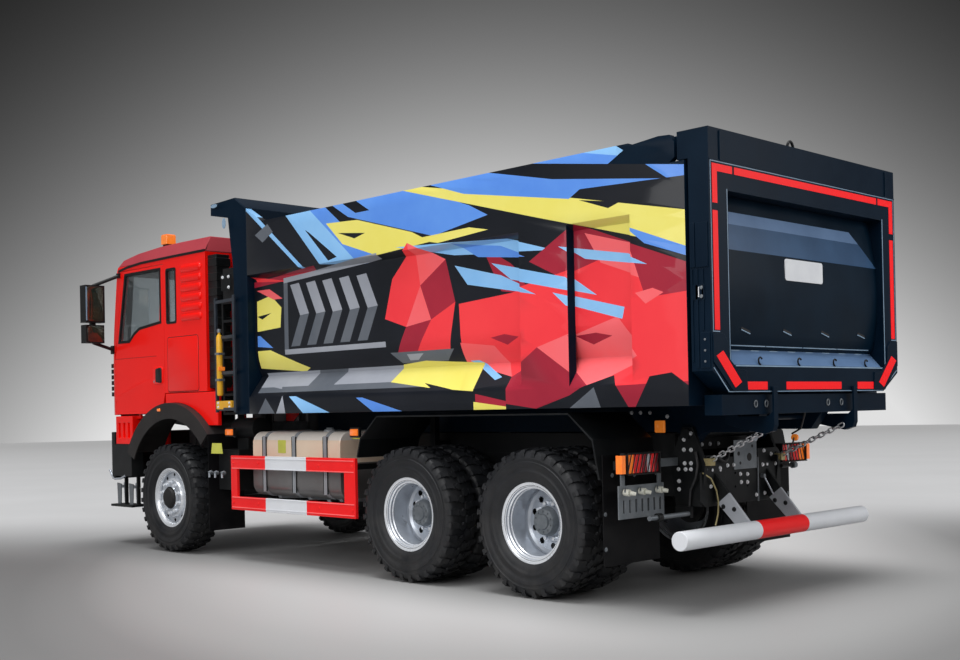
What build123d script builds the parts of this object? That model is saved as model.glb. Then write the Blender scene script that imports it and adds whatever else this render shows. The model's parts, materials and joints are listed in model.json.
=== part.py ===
from build123d import *
import math
import os

os.makedirs("parts", exist_ok=True)

# A three-axle tipper with a day cab, a U-shaped body and a front telescopic hoist.
# Millimetres. +X forward, +Y to the left, +Z up. The origin lies on the ground,
# under the middle of the truck's length.

# ---- driving dimensions ----
fit_gap = 0.3            # between pieces that seat on each other
swing_gap = 6            # around doors, the cab and the body
plate = 12

# wheels
tyre_radius = 548
tyre_width = 315
lug_count = 16
lug_share = 0.5          # of the pitch, across a lug's top
lug_height = 24
shoulder_radius = 480    # where the flat tread side meets the tapered sidewall
cavity_radius = 490
cavity_half = 105
rim_radius = 298         # over the rim flange
rim_width = 244
rim_wall = 14
hub_bore = 70.2
front_axle_x = 2585
wheelbase = 3625
tandem_spacing = 1350
middle_axle_x = front_axle_x - wheelbase
rear_axle_x = middle_axle_x - tandem_spacing
front_wheel_y = 1085
twin_outer_y = 1075
twin_spacing = 350
kingpin_y = 885
kingpin_radius = 30

# chassis
rail_y = 430             # outer face of a rail's web
rail_height = 300
rail_flange = 80
rail_web = 10
rail_top_z = 1020
rail_front_x = 3700
rail_rear_x = -3390
subframe_height = 160
subframe_width = 80
subframe_front_x = 1480
rest_pad_height = 9.7

# body
hinge_x = -3280
hinge_z = 1180
hinge_pin_radius = 35
bed_front_x = 1100
bed_rear_x = -3840
bed_side_y = 1250
skin_y = 1170            # outer face of the tub's side skin
skin_thickness = 12
tub_corner_radius = 470
floor_z = 1510           # underside of the floor plate
bed_top_z = 3140
bed_bottom_z = 1380
upper_box_z = 2665
ledge_top_z = 1730
ledge_edge_z = 1530
bed_beam_y = 360
bed_beam_width = 100
bed_beam_bottom_z = 1190

# tailgate
gate_front_x = -3862
gate_rear_x = -4020
latch_reach = 20         # how far the latch hooks stand behind the tailgate
gate_half_width = 1240
gate_bottom_z = 1460
gate_top_z = 3150
gate_hinge_x = -3670
gate_hinge_z = 3090
gate_pin_radius = 20
window_half_width = 1030
window_bottom_z = 1640
window_top_z = 2760

# cab
cab_rear_x = 1970
cab_nose_x = 3940
cab_half_width = 1140
cab_wall = 45
cab_floor_z = 1612
cab_sill_z = 1395
roof_seam_z = 2990
tilt_x = 3810
tilt_z = 980
tilt_eye_y = 490
tilt_eye_width = 30
door_rear_x = 2765
door_front_x = 3790
door_top_z = 2935
door_bottom_z = 1402
door_hinge_x = 3775
door_hinge_y = cab_half_width - 10
hinge_radius = 10
hinge_half = 22
hinge_places = (1560, 1850)
door_pin_radius = 5
arch_radius = 960
screen_half_width = 980

# hoist
hoist_base_x = 1720
hoist_base_z = 850
hoist_eye_x = 1650
hoist_eye_z = 2450
barrel_radius = 105
stage_step = 16
stage_count = 3


# ---- small makers of shapes ----
def block(x0, x1, y0, y1, z0, z1):
    size = Box(abs(x1 - x0), abs(y1 - y0), abs(z1 - z0))
    return Pos((x0 + x1) / 2, (y0 + y1) / 2, (z0 + z1) / 2) * size


def side_plate(points, y0, y1):
    # an outline of (x, z) points, between two planes across the truck
    face = make_face(Polyline(*[(x, y0, z) for x, z in points], close=True))
    return extrude(face, amount=y1 - y0, dir=(0, 1, 0))


def cross_plate(points, x0, x1):
    # an outline of (y, z) points, between two planes along the truck
    face = make_face(Polyline(*[(x0, y, z) for y, z in points], close=True))
    return extrude(face, amount=x1 - x0, dir=(1, 0, 0))


def flat_plate(points, z0, z1):
    # an outline of (x, y) points, between two heights
    face = make_face(Polyline(*[(x, y, z0) for x, y in points], close=True))
    return extrude(face, amount=z1 - z0, dir=(0, 0, 1))


def rod(start, end, radius):
    line = Edge.make_line(start, end)
    plane = Plane(origin=start, z_dir=line.tangent_at(0))
    return extrude(plane * Circle(radius), amount=line.length)


def cross_rod(x, z, radius, y0, y1):
    return rod((x, y0, z), (x, y1, z), radius)


def turned(section, x, z):
    # a closed (y, radius) section, turned about a line across the truck
    face = make_face(Polyline(*[(r, y, 0) for y, r in section], close=True))
    return Pos(x, 0, z) * revolve(face, Axis.Y)


def mirrored(shape):
    return mirror(shape, about=Plane.XZ)


def both_sides(shapes):
    return list(shapes) + [mirrored(s) for s in shapes]


def joined(shapes):
    first, *others = list(shapes)
    return first.fuse(*others) if others else first


def arc_band(x, z, inner, outer, low, high, y0, y1):
    # part of a flat ring in the side plane, between two angles up from +X
    def at(radius, angle):
        turn = math.radians(angle)
        return (x + radius * math.cos(turn), y0, z + radius * math.sin(turn))
    middle = (low + high) / 2
    edges = [
        ThreePointArc(at(outer, low), at(outer, middle), at(outer, high)),
        Line(at(outer, high), at(inner, high)),
        ThreePointArc(at(inner, high), at(inner, middle), at(inner, low)),
        Line(at(inner, low), at(outer, low)),
    ]
    return extrude(make_face(edges), amount=y1 - y0, dir=(0, 1, 0))


def save(name, shapes):
    solids = []
    for shape in shapes:
        solids += shape.solids()
    export_step(Compound(children=solids), f"parts/{name}.step")


# ---- wheels ----
axle_z = tyre_radius


def around(x, y, radius, turns):
    # corners about an axle, with the turns counted from straight down
    return [(x + radius * math.sin(turn), y, axle_z - radius * math.cos(turn)) for turn in turns]


def prism(outline, y0, y1):
    return extrude(make_face(Polyline(*outline(y0), close=True)), amount=y1 - y0, dir=(0, 1, 0))


def tyre(x, y):
    # lugs round a tread, tapered sidewalls and an air space; its flats lie on the rim
    pitch = 2 * math.pi / lug_count
    half_lug = pitch * lug_share / 2
    top = tyre_radius / math.cos(half_lug)
    root = tyre_radius - lug_height
    bead = (rim_radius + fit_gap) / math.cos(pitch / 2)
    half_width = tyre_width / 2

    def lugs(place):
        points = []
        for n in range(lug_count):
            for reach, radius in ((-1.2, root), (-1, top), (1, top), (1.2, root)):
                points += around(x, place, radius, [n * pitch + reach * half_lug])
        return points

    def ring(radius):
        turns = [(n + 0.5) * pitch for n in range(lug_count)]
        return lambda place: around(x, place, radius, turns)

    def ring_face(radius, place):
        return make_face(Polyline(*ring(radius)(place), close=True))

    hollows = [
        loft([ring_face(shoulder_radius, y + side * half_width),
              ring_face(bead, y + side * rim_width / 2)], ruled=True)
        for side in (-1, 1)
    ]
    hollows += [prism(ring(bead), y - half_width, y + half_width),
                prism(ring(cavity_radius), y - cavity_half, y + cavity_half)]
    body = prism(lugs, y - half_width, y + half_width)
    for hollow in hollows:
        body -= hollow
    return body


def rim(x, y, outward, disc_offset):
    # the disc lies disc_offset outboard of the rim's middle
    half = rim_width / 2
    seat = half - rim_wall
    inner = rim_radius - 30 - rim_wall
    section = [
        (y - half, rim_radius), (y - seat, rim_radius), (y - seat, rim_radius - 30.3),
        (y + seat, rim_radius - 30.3), (y + seat, rim_radius), (y + half, rim_radius),
        (y + half, inner), (y - half, inner),
    ]
    barrel = turned(section, x, axle_z)
    disc_y = y + outward * disc_offset
    back_y = disc_y - outward * rim_wall
    disc = turned([(disc_y, hub_bore), (disc_y, inner + 2), (back_y, inner + 2), (back_y, hub_bore)],
                  x, axle_z)
    holes = [
        Pos(x, 0, axle_z) * Rot(0, 36 * n, 0) * Pos(190, disc_y, 0)
        * Rot(90, 0, 0) * Cylinder(26, 60)
        for n in range(10)
    ]
    return joined([barrel, disc]) - joined(holes)


front_disc_offset = 85
save("front_left_tyre", [tyre(front_axle_x, front_wheel_y)])
save("front_right_tyre", [tyre(front_axle_x, -front_wheel_y)])
front_rim = rim(front_axle_x, front_wheel_y, 1, front_disc_offset)
front_hub = cross_rod(front_axle_x, axle_z, 115, front_wheel_y - 20, front_wheel_y + 105)
front_hub -= cross_rod(front_axle_x, axle_z, 40.3, front_wheel_y - 25, front_wheel_y + 60)
front_rim = joined([front_rim, front_hub])
save("front_left_rim", [front_rim])
save("front_right_rim", [mirrored(front_rim)])

twin_inner_y = twin_outer_y - twin_spacing
twin_disc_y = (twin_outer_y + twin_inner_y) / 2
for name, x in (("middle", middle_axle_x), ("rear", rear_axle_x)):
    tyres = [tyre(x, twin_outer_y), tyre(x, twin_inner_y)]
    outer_rim = rim(x, twin_outer_y, -1, rim_width / 2 - rim_wall)
    inner_rim = rim(x, twin_inner_y, 1, rim_width / 2 - rim_wall)
    inner_face = twin_inner_y + rim_width / 2
    outer_face = twin_outer_y - rim_width / 2
    drum = turned([(inner_face - 90, 48.3), (inner_face - 90, 150), (inner_face, 150),
                   (inner_face, 120), (outer_face + 130, 120), (outer_face + 160, 90),
                   (outer_face + 160, 0), (outer_face + 100, 0), (outer_face + 100, 48.3)], x, axle_z)
    rims = [joined([outer_rim, inner_rim, drum])]
    save(f"{name}_left_tyres", tyres)
    save(f"{name}_right_tyres", [mirrored(t) for t in tyres])
    save(f"{name}_left_rims", rims)
    save(f"{name}_right_rims", [mirrored(r) for r in rims])

# ---- steering knuckles and axles ----
knuckle_height = 190
fork_gap = 2
pin_clearance = 0.3
knuckle_block = block(front_axle_x - 55, front_axle_x + 55, kingpin_y - 45, kingpin_y + 60,
                      axle_z - knuckle_height / 2 - 60, axle_z + knuckle_height / 2 + 60)
knuckle_slot = block(front_axle_x - 60, front_axle_x + 60, kingpin_y - 50, kingpin_y + 46,
                     axle_z - knuckle_height / 2, axle_z + knuckle_height / 2)
spindle = cross_rod(front_axle_x, axle_z, 40, kingpin_y + 50, front_wheel_y + 50)
brake_disc = turned([(front_wheel_y - 80, 60), (front_wheel_y - 80, 205),
                     (front_wheel_y - 50, 205), (front_wheel_y - 50, 60)], front_axle_x, axle_z)
steer_arm = block(front_axle_x - 260, front_axle_x - 50, kingpin_y - 40, kingpin_y - 5,
                  axle_z - knuckle_height / 2 - 55, axle_z - knuckle_height / 2 - 20)
kingpin = rod((front_axle_x, kingpin_y, axle_z - knuckle_height / 2 - 40),
              (front_axle_x, kingpin_y, axle_z + knuckle_height / 2 + 40), kingpin_radius)
brake_web = block(front_axle_x - 30, front_axle_x + 30, kingpin_y + 55, front_wheel_y - 78,
                  axle_z - 75, axle_z + 75)
left_knuckle = joined([knuckle_block - knuckle_slot, kingpin, spindle, brake_web, brake_disc,
                       steer_arm])
save("left_knuckle", [left_knuckle])
save("right_knuckle", [mirrored(left_knuckle)])

beam_drop = 90
boss_half = knuckle_height / 2 - fork_gap
boss = rod((front_axle_x, kingpin_y, axle_z - boss_half),
           (front_axle_x, kingpin_y, axle_z + boss_half), 44)
boss -= rod((front_axle_x, kingpin_y, axle_z - boss_half - 5),
            (front_axle_x, kingpin_y, axle_z + boss_half + 5), kingpin_radius + pin_clearance)
neck = side_plate([(front_axle_x - 45, axle_z - 70), (front_axle_x + 45, axle_z - 70),
                   (front_axle_x + 45, axle_z + 60), (front_axle_x - 45, axle_z + 60)],
                  kingpin_y - 200, kingpin_y - 34)
neck -= rod((front_axle_x, kingpin_y, 0), (front_axle_x, kingpin_y, 2000), 43.5)
beam = block(front_axle_x - 55, front_axle_x + 55, -kingpin_y + 190, kingpin_y - 190,
             axle_z - beam_drop - 70, axle_z - beam_drop + 60)
beam_end = block(front_axle_x - 55, front_axle_x + 55, kingpin_y - 250, kingpin_y - 185,
                 axle_z - beam_drop - 70, axle_z + 60)
spring_y = rail_y - 5
spring_seat_z = axle_z - beam_drop + 60
spring_hanger_z = rail_top_z - rail_height
spring_width = 90


def leaf_pack(x, seat_z, half_length, rise, leaves, thickness, y):
    # stacked leaves: each lower leaf is shorter, all lying along one bow
    pack = []
    for n in range(leaves):
        reach = half_length * (1 - 0.11 * (leaves - 1 - n))
        lift = rise * reach / half_length
        low = seat_z + n * thickness
        outer = [(x - reach, low + lift), (x, low), (x + reach, low + lift)]
        upper = [(px, pz + thickness) for px, pz in reversed(outer)]
        pack.append(side_plate(outer + upper, y - spring_width / 2, y + spring_width / 2))
    return joined(pack)


front_pack = leaf_pack(front_axle_x, spring_seat_z, 760, 70, 4, 16, spring_y)
front_pack_end_z = spring_seat_z + 70 + 64
hangers = [
    block(front_axle_x + end * 740 - 40, front_axle_x + end * 740 + 40, spring_y - 45,
          spring_y + 45, front_pack_end_z - 10, spring_hanger_z + 40)
    for end in (-1, 1)
]
hangers = [h - block(front_axle_x - 900, front_axle_x + 900, rail_y - rail_flange - 1, rail_y + 0.01,
                     spring_hanger_z - 0.01, spring_hanger_z + 100) for h in hangers]
spring_saddle = block(front_axle_x - 55, front_axle_x + 55, spring_y - 50, spring_y + 50,
                      spring_seat_z - 30, spring_seat_z + 24)
front_side = joined([front_pack, spring_saddle] + hangers)
front_axle = joined(both_sides([boss, neck, beam_end, front_side]) + [beam])
save("front_axle", [front_axle])

hub_stub_radius = 48
bowl_radius = 215
rear_units = []
for x in (middle_axle_x, rear_axle_x):
    casing = cross_rod(x, axle_z, 80, -twin_inner_y + 160, twin_inner_y - 160)
    bowl = turned([(-95, 0), (-95, 150), (-60, bowl_radius), (60, bowl_radius), (95, 150), (95, 0)],
                  x, axle_z)
    stubs = cross_rod(x, axle_z, hub_stub_radius, -twin_disc_y - 90, twin_disc_y + 90)
    rear_units.append(joined([casing, bowl, stubs]))
bogie_x = (middle_axle_x + rear_axle_x) / 2
bogie_seat_z = axle_z + 80
bogie_spring_y = rail_y + 75
bogie_pack = leaf_pack(bogie_x, bogie_seat_z, tandem_spacing / 2 + 60, 0, 7, 18, bogie_spring_y)
trunnion = cross_rod(bogie_x, bogie_seat_z - 60, 60, -bogie_spring_y - 40, bogie_spring_y + 40)
saddle = block(bogie_x - 90, bogie_x + 90, bogie_spring_y - 50, bogie_spring_y + 50,
               bogie_seat_z - 70, bogie_seat_z + 0.5)
hanger = side_plate([(bogie_x - 200, rail_top_z - 60), (bogie_x + 200, rail_top_z - 60),
                     (bogie_x + 90, bogie_seat_z - 120), (bogie_x - 90, bogie_seat_z - 120)],
                    rail_y, rail_y + 25)
spring_seats = [
    block(x - 45, x + 45, bogie_spring_y - 45, bogie_spring_y + 45, axle_z + 40, bogie_seat_z + 110)
    for x in (middle_axle_x, rear_axle_x)
]
suspension = joined(both_sides([bogie_pack, saddle, hanger] + spring_seats) + rear_units
                    + [trunnion])
save("rear_axles", [suspension])

# ---- chassis ----
rail_section = [
    (rail_y, rail_top_z), (rail_y - rail_flange, rail_top_z),
    (rail_y - rail_flange, rail_top_z - rail_web), (rail_y - rail_web, rail_top_z - rail_web),
    (rail_y - rail_web, rail_top_z - rail_height + rail_web),
    (rail_y - rail_flange, rail_top_z - rail_height + rail_web),
    (rail_y - rail_flange, rail_top_z - rail_height), (rail_y, rail_top_z - rail_height),
]
rail = cross_plate(rail_section, rail_rear_x, rail_front_x)
web_y = rail_y - rail_web
member_places = (3660, 1350, 350, -500, -1550, -2700, -3300)
members = [
    block(x - 40, x + 40, -web_y, web_y, rail_top_z - 220, rail_top_z - 80) for x in member_places
]
tail_plate = block(rail_rear_x - plate, rail_rear_x, -rail_y - 30, rail_y + 30,
                   rail_top_z - rail_height - 60, rail_top_z - 20)
hitch_z = rail_top_z - 190
hitch_spread_y = 160
hitch_spread_z = 100
hitch_hole_radius = 10.5
hitch_holes = [
    rod((rail_rear_x - 30, y, z), (rail_rear_x + 10, y, z), hitch_hole_radius)
    for y in (-hitch_spread_y / 2, hitch_spread_y / 2)
    for z in (hitch_z - hitch_spread_z / 2, hitch_z + hitch_spread_z / 2)
]
tail_plate -= joined(hitch_holes)
chain_pin_x = rail_rear_x - plate - 38
chain_pin_z = 975
chain_eye_y = 440
chain_lug = block(chain_pin_x - 20, rail_rear_x - 2, chain_eye_y - 38, chain_eye_y - 26,
                  chain_pin_z - 30, chain_pin_z + 20)
chain_pin = cross_rod(chain_pin_x, chain_pin_z, 10, chain_eye_y - 38, chain_eye_y + 20)
cab_post = block(2010, 2090, rail_y - rail_flange, rail_y, rail_top_z, 1520)
cab_beam = block(2010, 2090, -rail_y, rail_y, 1500, 1570)
cab_pad = block(2010, 2090, rail_y - rail_flange, rail_y, 1560, cab_floor_z - fit_gap)
tilt_lug = side_plate([(rail_front_x - 60, 760), (tilt_x + 40, 800), (tilt_x + 40, tilt_z + 40),
                       (tilt_x - 40, tilt_z + 40), (rail_front_x - 60, rail_top_z - 20)],
                      rail_y - 1, rail_y + 30)
tilt_pin = cross_rod(tilt_x, tilt_z, 25, -530, 530)
frame = joined(both_sides([rail, chain_lug, chain_pin, cab_post, cab_pad, tilt_lug])
               + members + [tail_plate, cab_beam, tilt_pin])
save("frame", [frame])

subframe_z = rail_top_z + subframe_height
sub_rail = block(hinge_x + 160, subframe_front_x, rail_y - subframe_width, rail_y,
                 rail_top_z, subframe_z)
sub_members = [
    block(x - 35, x + 35, -rail_y + subframe_width / 2, rail_y - subframe_width / 2,
          rail_top_z + 30, subframe_z - 20)
    for x in (1400, 500, -400, -1300, -2200, -3100)
]
pads = [
    block(x - 60, x + 60, rail_y - subframe_width, rail_y, subframe_z - 0.5,
          subframe_z + rest_pad_height)
    for x in (1000, -200, -1400, -2500)
]
lug_y = bed_beam_y + bed_beam_width + 5
lug = side_plate([(hinge_x - 110, rail_top_z - rail_height - 60), (hinge_x - 150, rail_top_z - 60),
                  (hinge_x - 45, hinge_z + 45), (hinge_x + 45, hinge_z + 45),
                  (hinge_x + 160, rail_top_z - 60), (hinge_x + 110, rail_top_z - rail_height - 60)],
                 lug_y, lug_y + 30)
lug_foot = block(hinge_x - 100, hinge_x + 150, rail_y, lug_y + 2, rail_top_z - rail_height + 30,
                 rail_top_z - 70)
hinge_pin = cross_rod(hinge_x, hinge_z, hinge_pin_radius, -lug_y - 50, lug_y + 50)
hoist_cheek_y = 125
hoist_foot = side_plate([(hoist_base_x - 90, hoist_base_z - 75), (hoist_base_x + 90, hoist_base_z - 75),
                         (hoist_base_x + 60, hoist_base_z + 60), (hoist_base_x - 60, hoist_base_z + 60)],
                        hoist_cheek_y, hoist_cheek_y + 25)
hoist_beam = block(hoist_base_x - 90, hoist_base_x + 90, -web_y, web_y, hoist_base_z - 120,
                   hoist_base_z - 70)
hoist_pin = cross_rod(hoist_base_x, hoist_base_z, 34, -hoist_cheek_y - 40, hoist_cheek_y + 40)
hoist_mount = joined(both_sides([hoist_foot]) + [hoist_beam, hoist_pin])
subframe = joined(both_sides([sub_rail, lug, lug_foot] + pads) + sub_members + [hinge_pin])
save("subframe", [subframe, hoist_mount])

engine = joined([block(2160, 3480, -330, 330, 640, 1290), block(3480, 3610, -345, 345, 700, 1290)])
gearbox = block(1900, 2160 - fit_gap, -220, 220, 600, 1000)
shaft_z = 660
front_drop = 40
link_rise = 128
link_radius = 38
front_reach = bowl_radius - 0.8
link_reach = math.sqrt(bowl_radius ** 2 - (link_rise - link_radius) ** 2) + fit_gap
shafts = [
    rod((1900 - fit_gap, 0, shaft_z), (middle_axle_x + front_reach, 0, axle_z + front_drop), 45),
    rod((middle_axle_x - link_reach, 0, axle_z + link_rise),
        (rear_axle_x + link_reach, 0, axle_z + link_rise), link_radius),
]
save("powertrain", [engine, gearbox] + shafts)

# ---- fuel tank, boxes and air tanks ----
tank_rear_x = -50
tank_front_x = 1270
tank_inner_y = 490
tank_outer_y = 1100
tank_bottom_z = 615
tank_top_z = 1210
tank_corner = 110
strap_thickness = 6
strap_places = (150, 610, 1070)


def rounded_box(x0, x1, y0, y1, z0, z1, radius):
    shape = block(x0, x1, y0, y1, z0, z1)
    return fillet(shape.edges().filter_by(Axis.X), radius)


tank = rounded_box(tank_rear_x, tank_front_x, tank_inner_y, tank_outer_y, tank_bottom_z,
                   tank_top_z, tank_corner)
save("fuel_tank", [tank])
cradle = []
for x in strap_places:
    ring = rounded_box(x - 25, x + 25, tank_inner_y - strap_thickness, tank_outer_y + strap_thickness,
                       tank_bottom_z - strap_thickness, tank_top_z + strap_thickness,
                       tank_corner + strap_thickness)
    ring -= rounded_box(x - 30, x + 30, tank_inner_y, tank_outer_y, tank_bottom_z, tank_top_z,
                        tank_corner)
    arm = cross_plate([(rail_y, rail_top_z - 20), (rail_y + 40, rail_top_z - 20),
                       (rail_y + 50, tank_bottom_z - 1), (tank_outer_y - 150, tank_bottom_z - 1),
                       (tank_outer_y - 170, tank_bottom_z - 30), (rail_y + 20, tank_bottom_z - 60),
                       (rail_y, rail_top_z - rail_height + 20)], x - 25, x + 25)
    arm -= rounded_box(x - 30, x + 30, tank_inner_y, tank_outer_y, tank_bottom_z, tank_top_z,
                       tank_corner)
    cradle.append(joined([ring, arm]))
save("tank_cradle", cradle)

box_front_x = 1850
box_rear_x = 1500
box_bottom_z = 650
box_top_z = 1040
battery_box = joined([block(box_rear_x, box_front_x, 640, 1100, box_bottom_z, box_top_z),
                      block(box_rear_x + 60, box_front_x - 60, rail_y, 645, 760, 960)])
air_tank_radius = 105
air_tank_z = 1240
air_tank = rod((1365, 930, air_tank_z), (1725, 930, air_tank_z), air_tank_radius)
air_stand = block(box_rear_x + 20, 1700, 880, 980, box_top_z - 1, air_tank_z - 60)
canister_post = block(1695, 1725, 900, 960, air_tank_z, 1552)
left_boxes = joined([battery_box, air_tank, air_stand, canister_post])
silencer = joined([block(1480, box_front_x, -1100, -560, 560, box_top_z),
                   block(1560, 1760, -565, -rail_y, 760, 960)])
right_tanks = joined([rod((60, -y, z), (960, -y, z), 130) for y, z in ((640, 860), (905, 860))]
                     + [block(x - 25, x + 25, -1000, -rail_y, 740, 980) for x in (200, 820)])
save("chassis_boxes", [left_boxes, silencer, right_tanks])
save("canister", [rod((1710, 930, 1552 + fit_gap), (1710, 930, 2190), 35)])

# ---- side guards ----
guard_rear_x = -400
guard_front_x = 1460
guard_bottom_z = 480
guard_top_z = 990
guard_bar = 125
guard_y = 1220
guard_depth = 30
guard = block(guard_rear_x, guard_front_x, guard_y - guard_depth, guard_y, guard_bottom_z,
              guard_top_z)
guard -= block(guard_rear_x + 150, guard_front_x - 100, guard_y - 50, guard_y + 20,
               guard_bottom_z + guard_bar, guard_top_z - guard_bar)
guard_arms = [
    block(x - 25, x + 25, rail_y, guard_y - guard_depth, 890, 940)
    for x in (guard_rear_x + 70, guard_front_x - 60)
]
left_guard = joined([guard] + guard_arms)
save("side_guards", [left_guard, mirrored(left_guard)])

# ---- mudguards, flaps and front arches ----
mudguard_inner_y = 560
mudguard_outer_y = 1225
mudguard_line = [(-3065, 882), (-3010, 1157), (-2787, 1345), (-700, 1345), (-480, 1157),
                 (-432, 1000)]


def bent_sheet(line, thickness, y0, y1):
    # a sheet that follows an open line of (x, z) points; its thickness goes inward
    under = []
    for n, (x, z) in enumerate(line):
        before = line[max(n - 1, 0)]
        after = line[min(n + 1, len(line) - 1)]
        dx, dz = after[0] - before[0], after[1] - before[1]
        size = math.hypot(dx, dz)
        under.append((x + dz / size * thickness, z - dx / size * thickness))
    return side_plate(line + under[::-1], y0, y1)


mudguard = bent_sheet(mudguard_line, plate, mudguard_inner_y, mudguard_outer_y)
mudguard_stays = [
    joined([block(x - 30, x + 30, rail_y, mudguard_inner_y + 60, 1060, 1120),
            block(x - 30, x + 30, mudguard_inner_y + 5, mudguard_inner_y + 60, 1060, 1338)])
    for x in (-720, -2760)
]
left_mudguard = joined([mudguard] + mudguard_stays)
save("rear_mudguards", [left_mudguard, mirrored(left_mudguard)])

arch_inner = 800
arch_rear_angle = 138
arch_top = arc_band(front_axle_x, axle_z, arch_radius - 14, arch_radius, 28, arch_rear_angle,
                    790, 1215)
arch_face = arc_band(front_axle_x, axle_z, arch_inner, arch_radius, 28, arch_rear_angle, 1200, 1215)
arch_stay = block(front_axle_x - 25, front_axle_x + 25, rail_y, 1200, axle_z + arch_radius - 50,
                  axle_z + arch_radius - 10)
arch_foot = block(front_axle_x - 25, front_axle_x + 25, rail_y, rail_y + 60, rail_top_z - 120,
                  axle_z + arch_radius - 12)
left_arch = joined([arch_top, arch_face, arch_stay, arch_foot])
save("front_arches", [left_arch, mirrored(left_arch)])

flap_thickness = 8
arch_end_x = front_axle_x + arch_radius * math.cos(math.radians(arch_rear_angle))
arch_end_z = axle_z + arch_radius * math.sin(math.radians(arch_rear_angle))
mudguard_end_x = mudguard_line[0][0]
front_flap = block(arch_end_x - fit_gap - flap_thickness, arch_end_x - fit_gap, 800, 1210, 250,
                   arch_end_z)
rear_flap = block(mudguard_end_x - fit_gap - flap_thickness, mudguard_end_x - fit_gap, 570, 1200,
                  280, 1050)
save("mudflaps", both_sides([front_flap, rear_flap]))

# ---- tail lamps, coupling plate and underrun bar ----
lamp_x = -3240
lamp_bottom_z = 910
lamp_top_z = 1067
lamp_inner_y = 790
lamp_outer_y = 1220
tail_lamp = block(lamp_x - 10, lamp_x + 45, lamp_inner_y, lamp_outer_y, lamp_bottom_z, lamp_top_z)
cage_bars = [
    cross_plate([(y, lamp_bottom_z + 8), (y + 14, lamp_bottom_z + 8), (y + 54, lamp_top_z - 8),
                 (y + 40, lamp_top_z - 8)], lamp_x - 30, lamp_x - 9)
    for y in range(lamp_inner_y + 20, lamp_outer_y - 70, 62)
]
cage_rails = [
    block(lamp_x - 30, lamp_x - 9, lamp_inner_y, lamp_outer_y, z, z + 10)
    for z in (lamp_bottom_z, lamp_top_z - 10)
]
tail_lamp = joined([tail_lamp] + cage_rails + cage_bars)
save("tail_lamps", [tail_lamp, mirrored(tail_lamp)])
lamp_arm = block(lamp_x + 45 + fit_gap, lamp_x + 75, lug_y + 30, lamp_outer_y - 20, 950, 1010)
coupling_plate = joined([block(lamp_x + 45 + fit_gap, lamp_x + 57, 670, 1180, 610, 840),
                         block(lamp_x + 45 + fit_gap, lamp_x + 57, 700, 740, 839, 960),
                         block(lamp_x + 45 + fit_gap, lamp_x + 57, 1110, 1150, 839, 960)])
slots = [
    block(lamp_x, lamp_x + 90, y - 10, y + 10, 650, 740) for y in range(715, 1140, 68)
]
coupling_plate -= joined(slots)

underrun_x = -3710
underrun_z = 498
underrun_radius = 65
underrun_half = 1205
save("underrun_bar", [cross_rod(underrun_x, underrun_z, underrun_radius, -underrun_half,
                                underrun_half)])
underrun_plate = side_plate([(rail_rear_x - plate, 900), (rail_rear_x - plate, 700),
                             (underrun_x + 60, underrun_z - 45), (underrun_x + 10, underrun_z + 50),
                             (underrun_x + 60, underrun_z + 110)], 330, 350)
underrun_plate -= cross_rod(underrun_x, underrun_z, underrun_radius + fit_gap, 0, 600)
save("tail_brackets", [joined([lamp_arm, coupling_plate]), mirrored(lamp_arm)]
     + both_sides([underrun_plate]))

# ---- bumper, steps and skirts ----
bumper_top_z = 1210
bumper_bottom_z = 700
wing_top_z = 1080
face_x = cab_nose_x + 100
wing_y = cab_half_width + 5
half_plan = [(face_x, 620), (face_x - 55, 1000), (face_x - 150, wing_y), (face_x - 220, wing_y),
             (face_x - 220, 1080), (face_x - 160, 980), (face_x - 110, 620)]
bumper_front = flat_plate(half_plan + [(x, -y) for x, y in reversed(half_plan)], bumper_bottom_z,
                          bumper_top_z)
wing = block(face_x - 570, face_x - 215, 1000, wing_y, 735, wing_top_z)
bumper_arm = block(rail_front_x + fit_gap, face_x - 105, rail_y - rail_flange + 5, rail_y - rail_web - 5,
                   760, 900)
lamp_pocket = block(face_x - 75, face_x + 10, 640, 960, 900, 1080)
tilt_slot = block(face_x - 190, face_x + 10, tilt_eye_y - swing_gap,
                  tilt_eye_y + tilt_eye_width + swing_gap, 1000, bumper_top_z + 10)
bumper = joined(both_sides([wing, bumper_arm]) + [bumper_front])
bumper -= joined(both_sides([lamp_pocket, tilt_slot]))
headlamp = block(face_x - 75 + fit_gap, face_x - 50, 640 + fit_gap, 960 - fit_gap,
                 900 + fit_gap, 1080 - fit_gap)
lenses = [
    rod((face_x - 51, y, 990), (face_x - 25, y, 990), radius) for y, radius in ((725, 66), (875, 58))
]
headlamp = joined([headlamp] + lenses)
save("headlamps", [headlamp, mirrored(headlamp)])
step_box = block(3445, 3800, 860, cab_half_width, wing_top_z + fit_gap, 1380)
step_box -= joined([block(x, x + 45, cab_half_width - 40, cab_half_width + 10, 1150, 1310)
                    for x in (3500, 3600, 3700)])
skirt = block(1790, door_rear_x - 10, 1095, cab_half_width, 1275, cab_floor_z - swing_gap)
skirt -= cross_rod(front_axle_x, axle_z, arch_radius + fit_gap, 1000, 1300)
skirt_arm = block(2020, 2080, rail_y, 1096, 1420, 1480)
save("skirts", both_sides([step_box, joined([skirt, skirt_arm])]))
step_hanger_places = (3520, 3780)
hanging_step = joined([block(3500, 3960, 930, 1130, 400, 425)]
                      + [block(x, x + 25, 1010, 1050, 424, 735 - fit_gap) for x in step_hanger_places])
save("bumper", [bumper] + both_sides([hanging_step]))

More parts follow.
